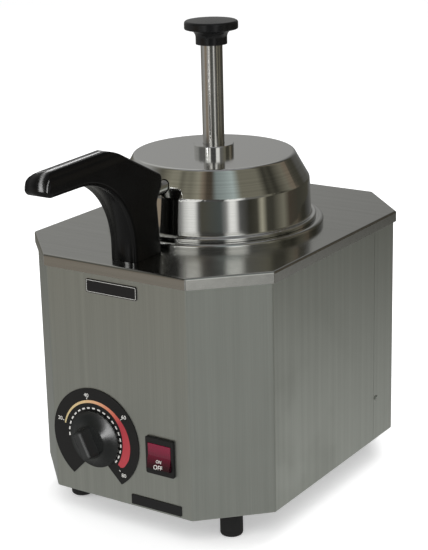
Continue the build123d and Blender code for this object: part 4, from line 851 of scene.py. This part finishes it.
lit_spot = (0.0, 0.0, 0.2)
soft_lamp("key_lamp", (1.1, -1.5, 1.8), lit_spot, 1.4, 22)
soft_lamp("fill_lamp", (-1.7, -1.0, 1.1), lit_spot, 1.4, 10)
soft_lamp("top_lamp", (0.1, 1.0, 2.2), lit_spot, 1.8, 22)

# %% [markdown]
# Glossy black plastic is drawn by its highlights alone. An arch of narrow lamps, from low in front over the
# top to behind, runs one line of light down the spout's crown and nose. Each row of the arch is a direction,
# a width in metres and a brightness, and the lamps stand evenly between rows. A long lamp across the front
# lays a fan of light on the dial knob's sloping skirt. They are linked to the black pieces only, so the
# steel doesn't mirror them, and dull surfaces don't see them.

# %% Strip lamps for the black plastic
def only_on(name, nodes):
    """A collection for light linking, which keeps a lamp's light to these nodes."""
    reached = bpy.data.collections.new(name)
    for node in nodes:
        reached.objects.link(frame["nodes"][node])
    return reached


def strip_lamp(name, reached, target, direction, size, brightness, tilt=0.0):
    """A flat lamp one metre from its target in this direction; the size is in metres."""
    away = Vector(direction).normalized()
    facing = (-away).to_track_quat("-Z", "Y").to_matrix() @ Matrix.Rotation(radians(tilt), 3, "Z")
    lamp, holder = area_lamp(
        name, "RECTANGLE", brightness * pi * size[0] * size[1], Vector(target) + away, facing)
    lamp.size, lamp.size_y = size
    holder.visible_diffuse = False
    holder.light_linking.receiver_collection = reached
    print(name, "at", [round(value, 2) for value in holder.location])


spout = only_on("spout_reach", ["shroud_left", "shroud_right"])
spout_nose = (0.0, -0.19, 0.315)
arch = [
    ((-0.10, -0.99, -0.10), 0.46, 20.0), ((-0.16, -0.90, 0.32), 0.40, 18.0),
    ((-0.33, -0.37, 0.87), 0.28, 11.0), ((-0.50, 0.40, 0.77), 0.18, 3.5), ((-0.55, 0.78, 0.29), 0.08, 3.0),
]
lamps_a_span, overlap = 3, 1.1
for span, ((from_way, from_width, from_glow), (to_way, to_width, to_glow)) in enumerate(zip(arch, arch[1:])):
    long = overlap * Vector(from_way).angle(Vector(to_way)) / lamps_a_span
    for step in range(lamps_a_span):
        share = (step + 0.5) / lamps_a_span
        strip_lamp(
            f"arch_{span}_{step}", spout, spout_nose, Vector(from_way).slerp(Vector(to_way), share),
            (from_width + (to_width - from_width) * share, long), from_glow + (to_glow - from_glow) * share)
crest_way, crest_width, crest_glow = arch[-1]
strip_lamp("crest_strip", spout, spout_nose, crest_way, (0.8, crest_width), crest_glow)
skirt_turn, skirt_rise = radians(22), radians(12)
skirt_way = (sin(skirt_turn) * cos(skirt_rise), -cos(skirt_turn) * cos(skirt_rise), sin(skirt_rise))
dial_knob = only_on("knob_reach", ["thermostat_knob"])
strip_lamp("skirt_strip", dial_knob, dial_centre, skirt_way, (1.9, 0.34), 16.0, 25.0)

# %% [markdown]
# The camera stands right of the front and looks a little down, with a long lens that keeps the upright
# edges nearly parallel. Its place is measured from the middle of the deck, which lies so far to the right,
# up and ahead of it. A slight roll matches the lean of the verticals.

# %% The camera
yaw, pitch, roll = radians(33.70), radians(17.37), radians(-1.361)
ahead = Vector((-sin(yaw) * cos(pitch), cos(yaw) * cos(pitch), -sin(pitch)))
level_right = Vector((cos(yaw), sin(yaw), 0))
level_up = level_right.cross(ahead)
right = level_right * cos(roll) + level_up * sin(roll)
up = level_up * cos(roll) - level_right * sin(roll)
deck_middle = Vector(((deck_low.x + deck_high.x) / 2, (deck_low.y + deck_high.y) / 2, deck_high.z))
to_right, to_up, to_ahead = 3.38 * mm, 47.33 * mm, 1361.76 * mm
camera_data = bpy.data.cameras.new("photo_camera")
camera_data.sensor_width = 36.0
camera_data.lens = 102.469
camera_data.clip_start = 0.05
camera_data.clip_end = 80.0
camera = bpy.data.objects.new("photo_camera", camera_data)
spot = deck_middle - (right * to_right + up * to_up + ahead * to_ahead)
facing = Matrix((right, up, -ahead)).transposed().to_4x4()
camera.matrix_world = Matrix.Translation(spot) @ facing
bpy.context.scene.collection.objects.link(camera)
bpy.context.scene.camera = camera
bpy.context.scene.view_settings.view_transform = "Standard"
print("camera at", [round(value, 3) for value in spot], "lens", camera_data.lens)
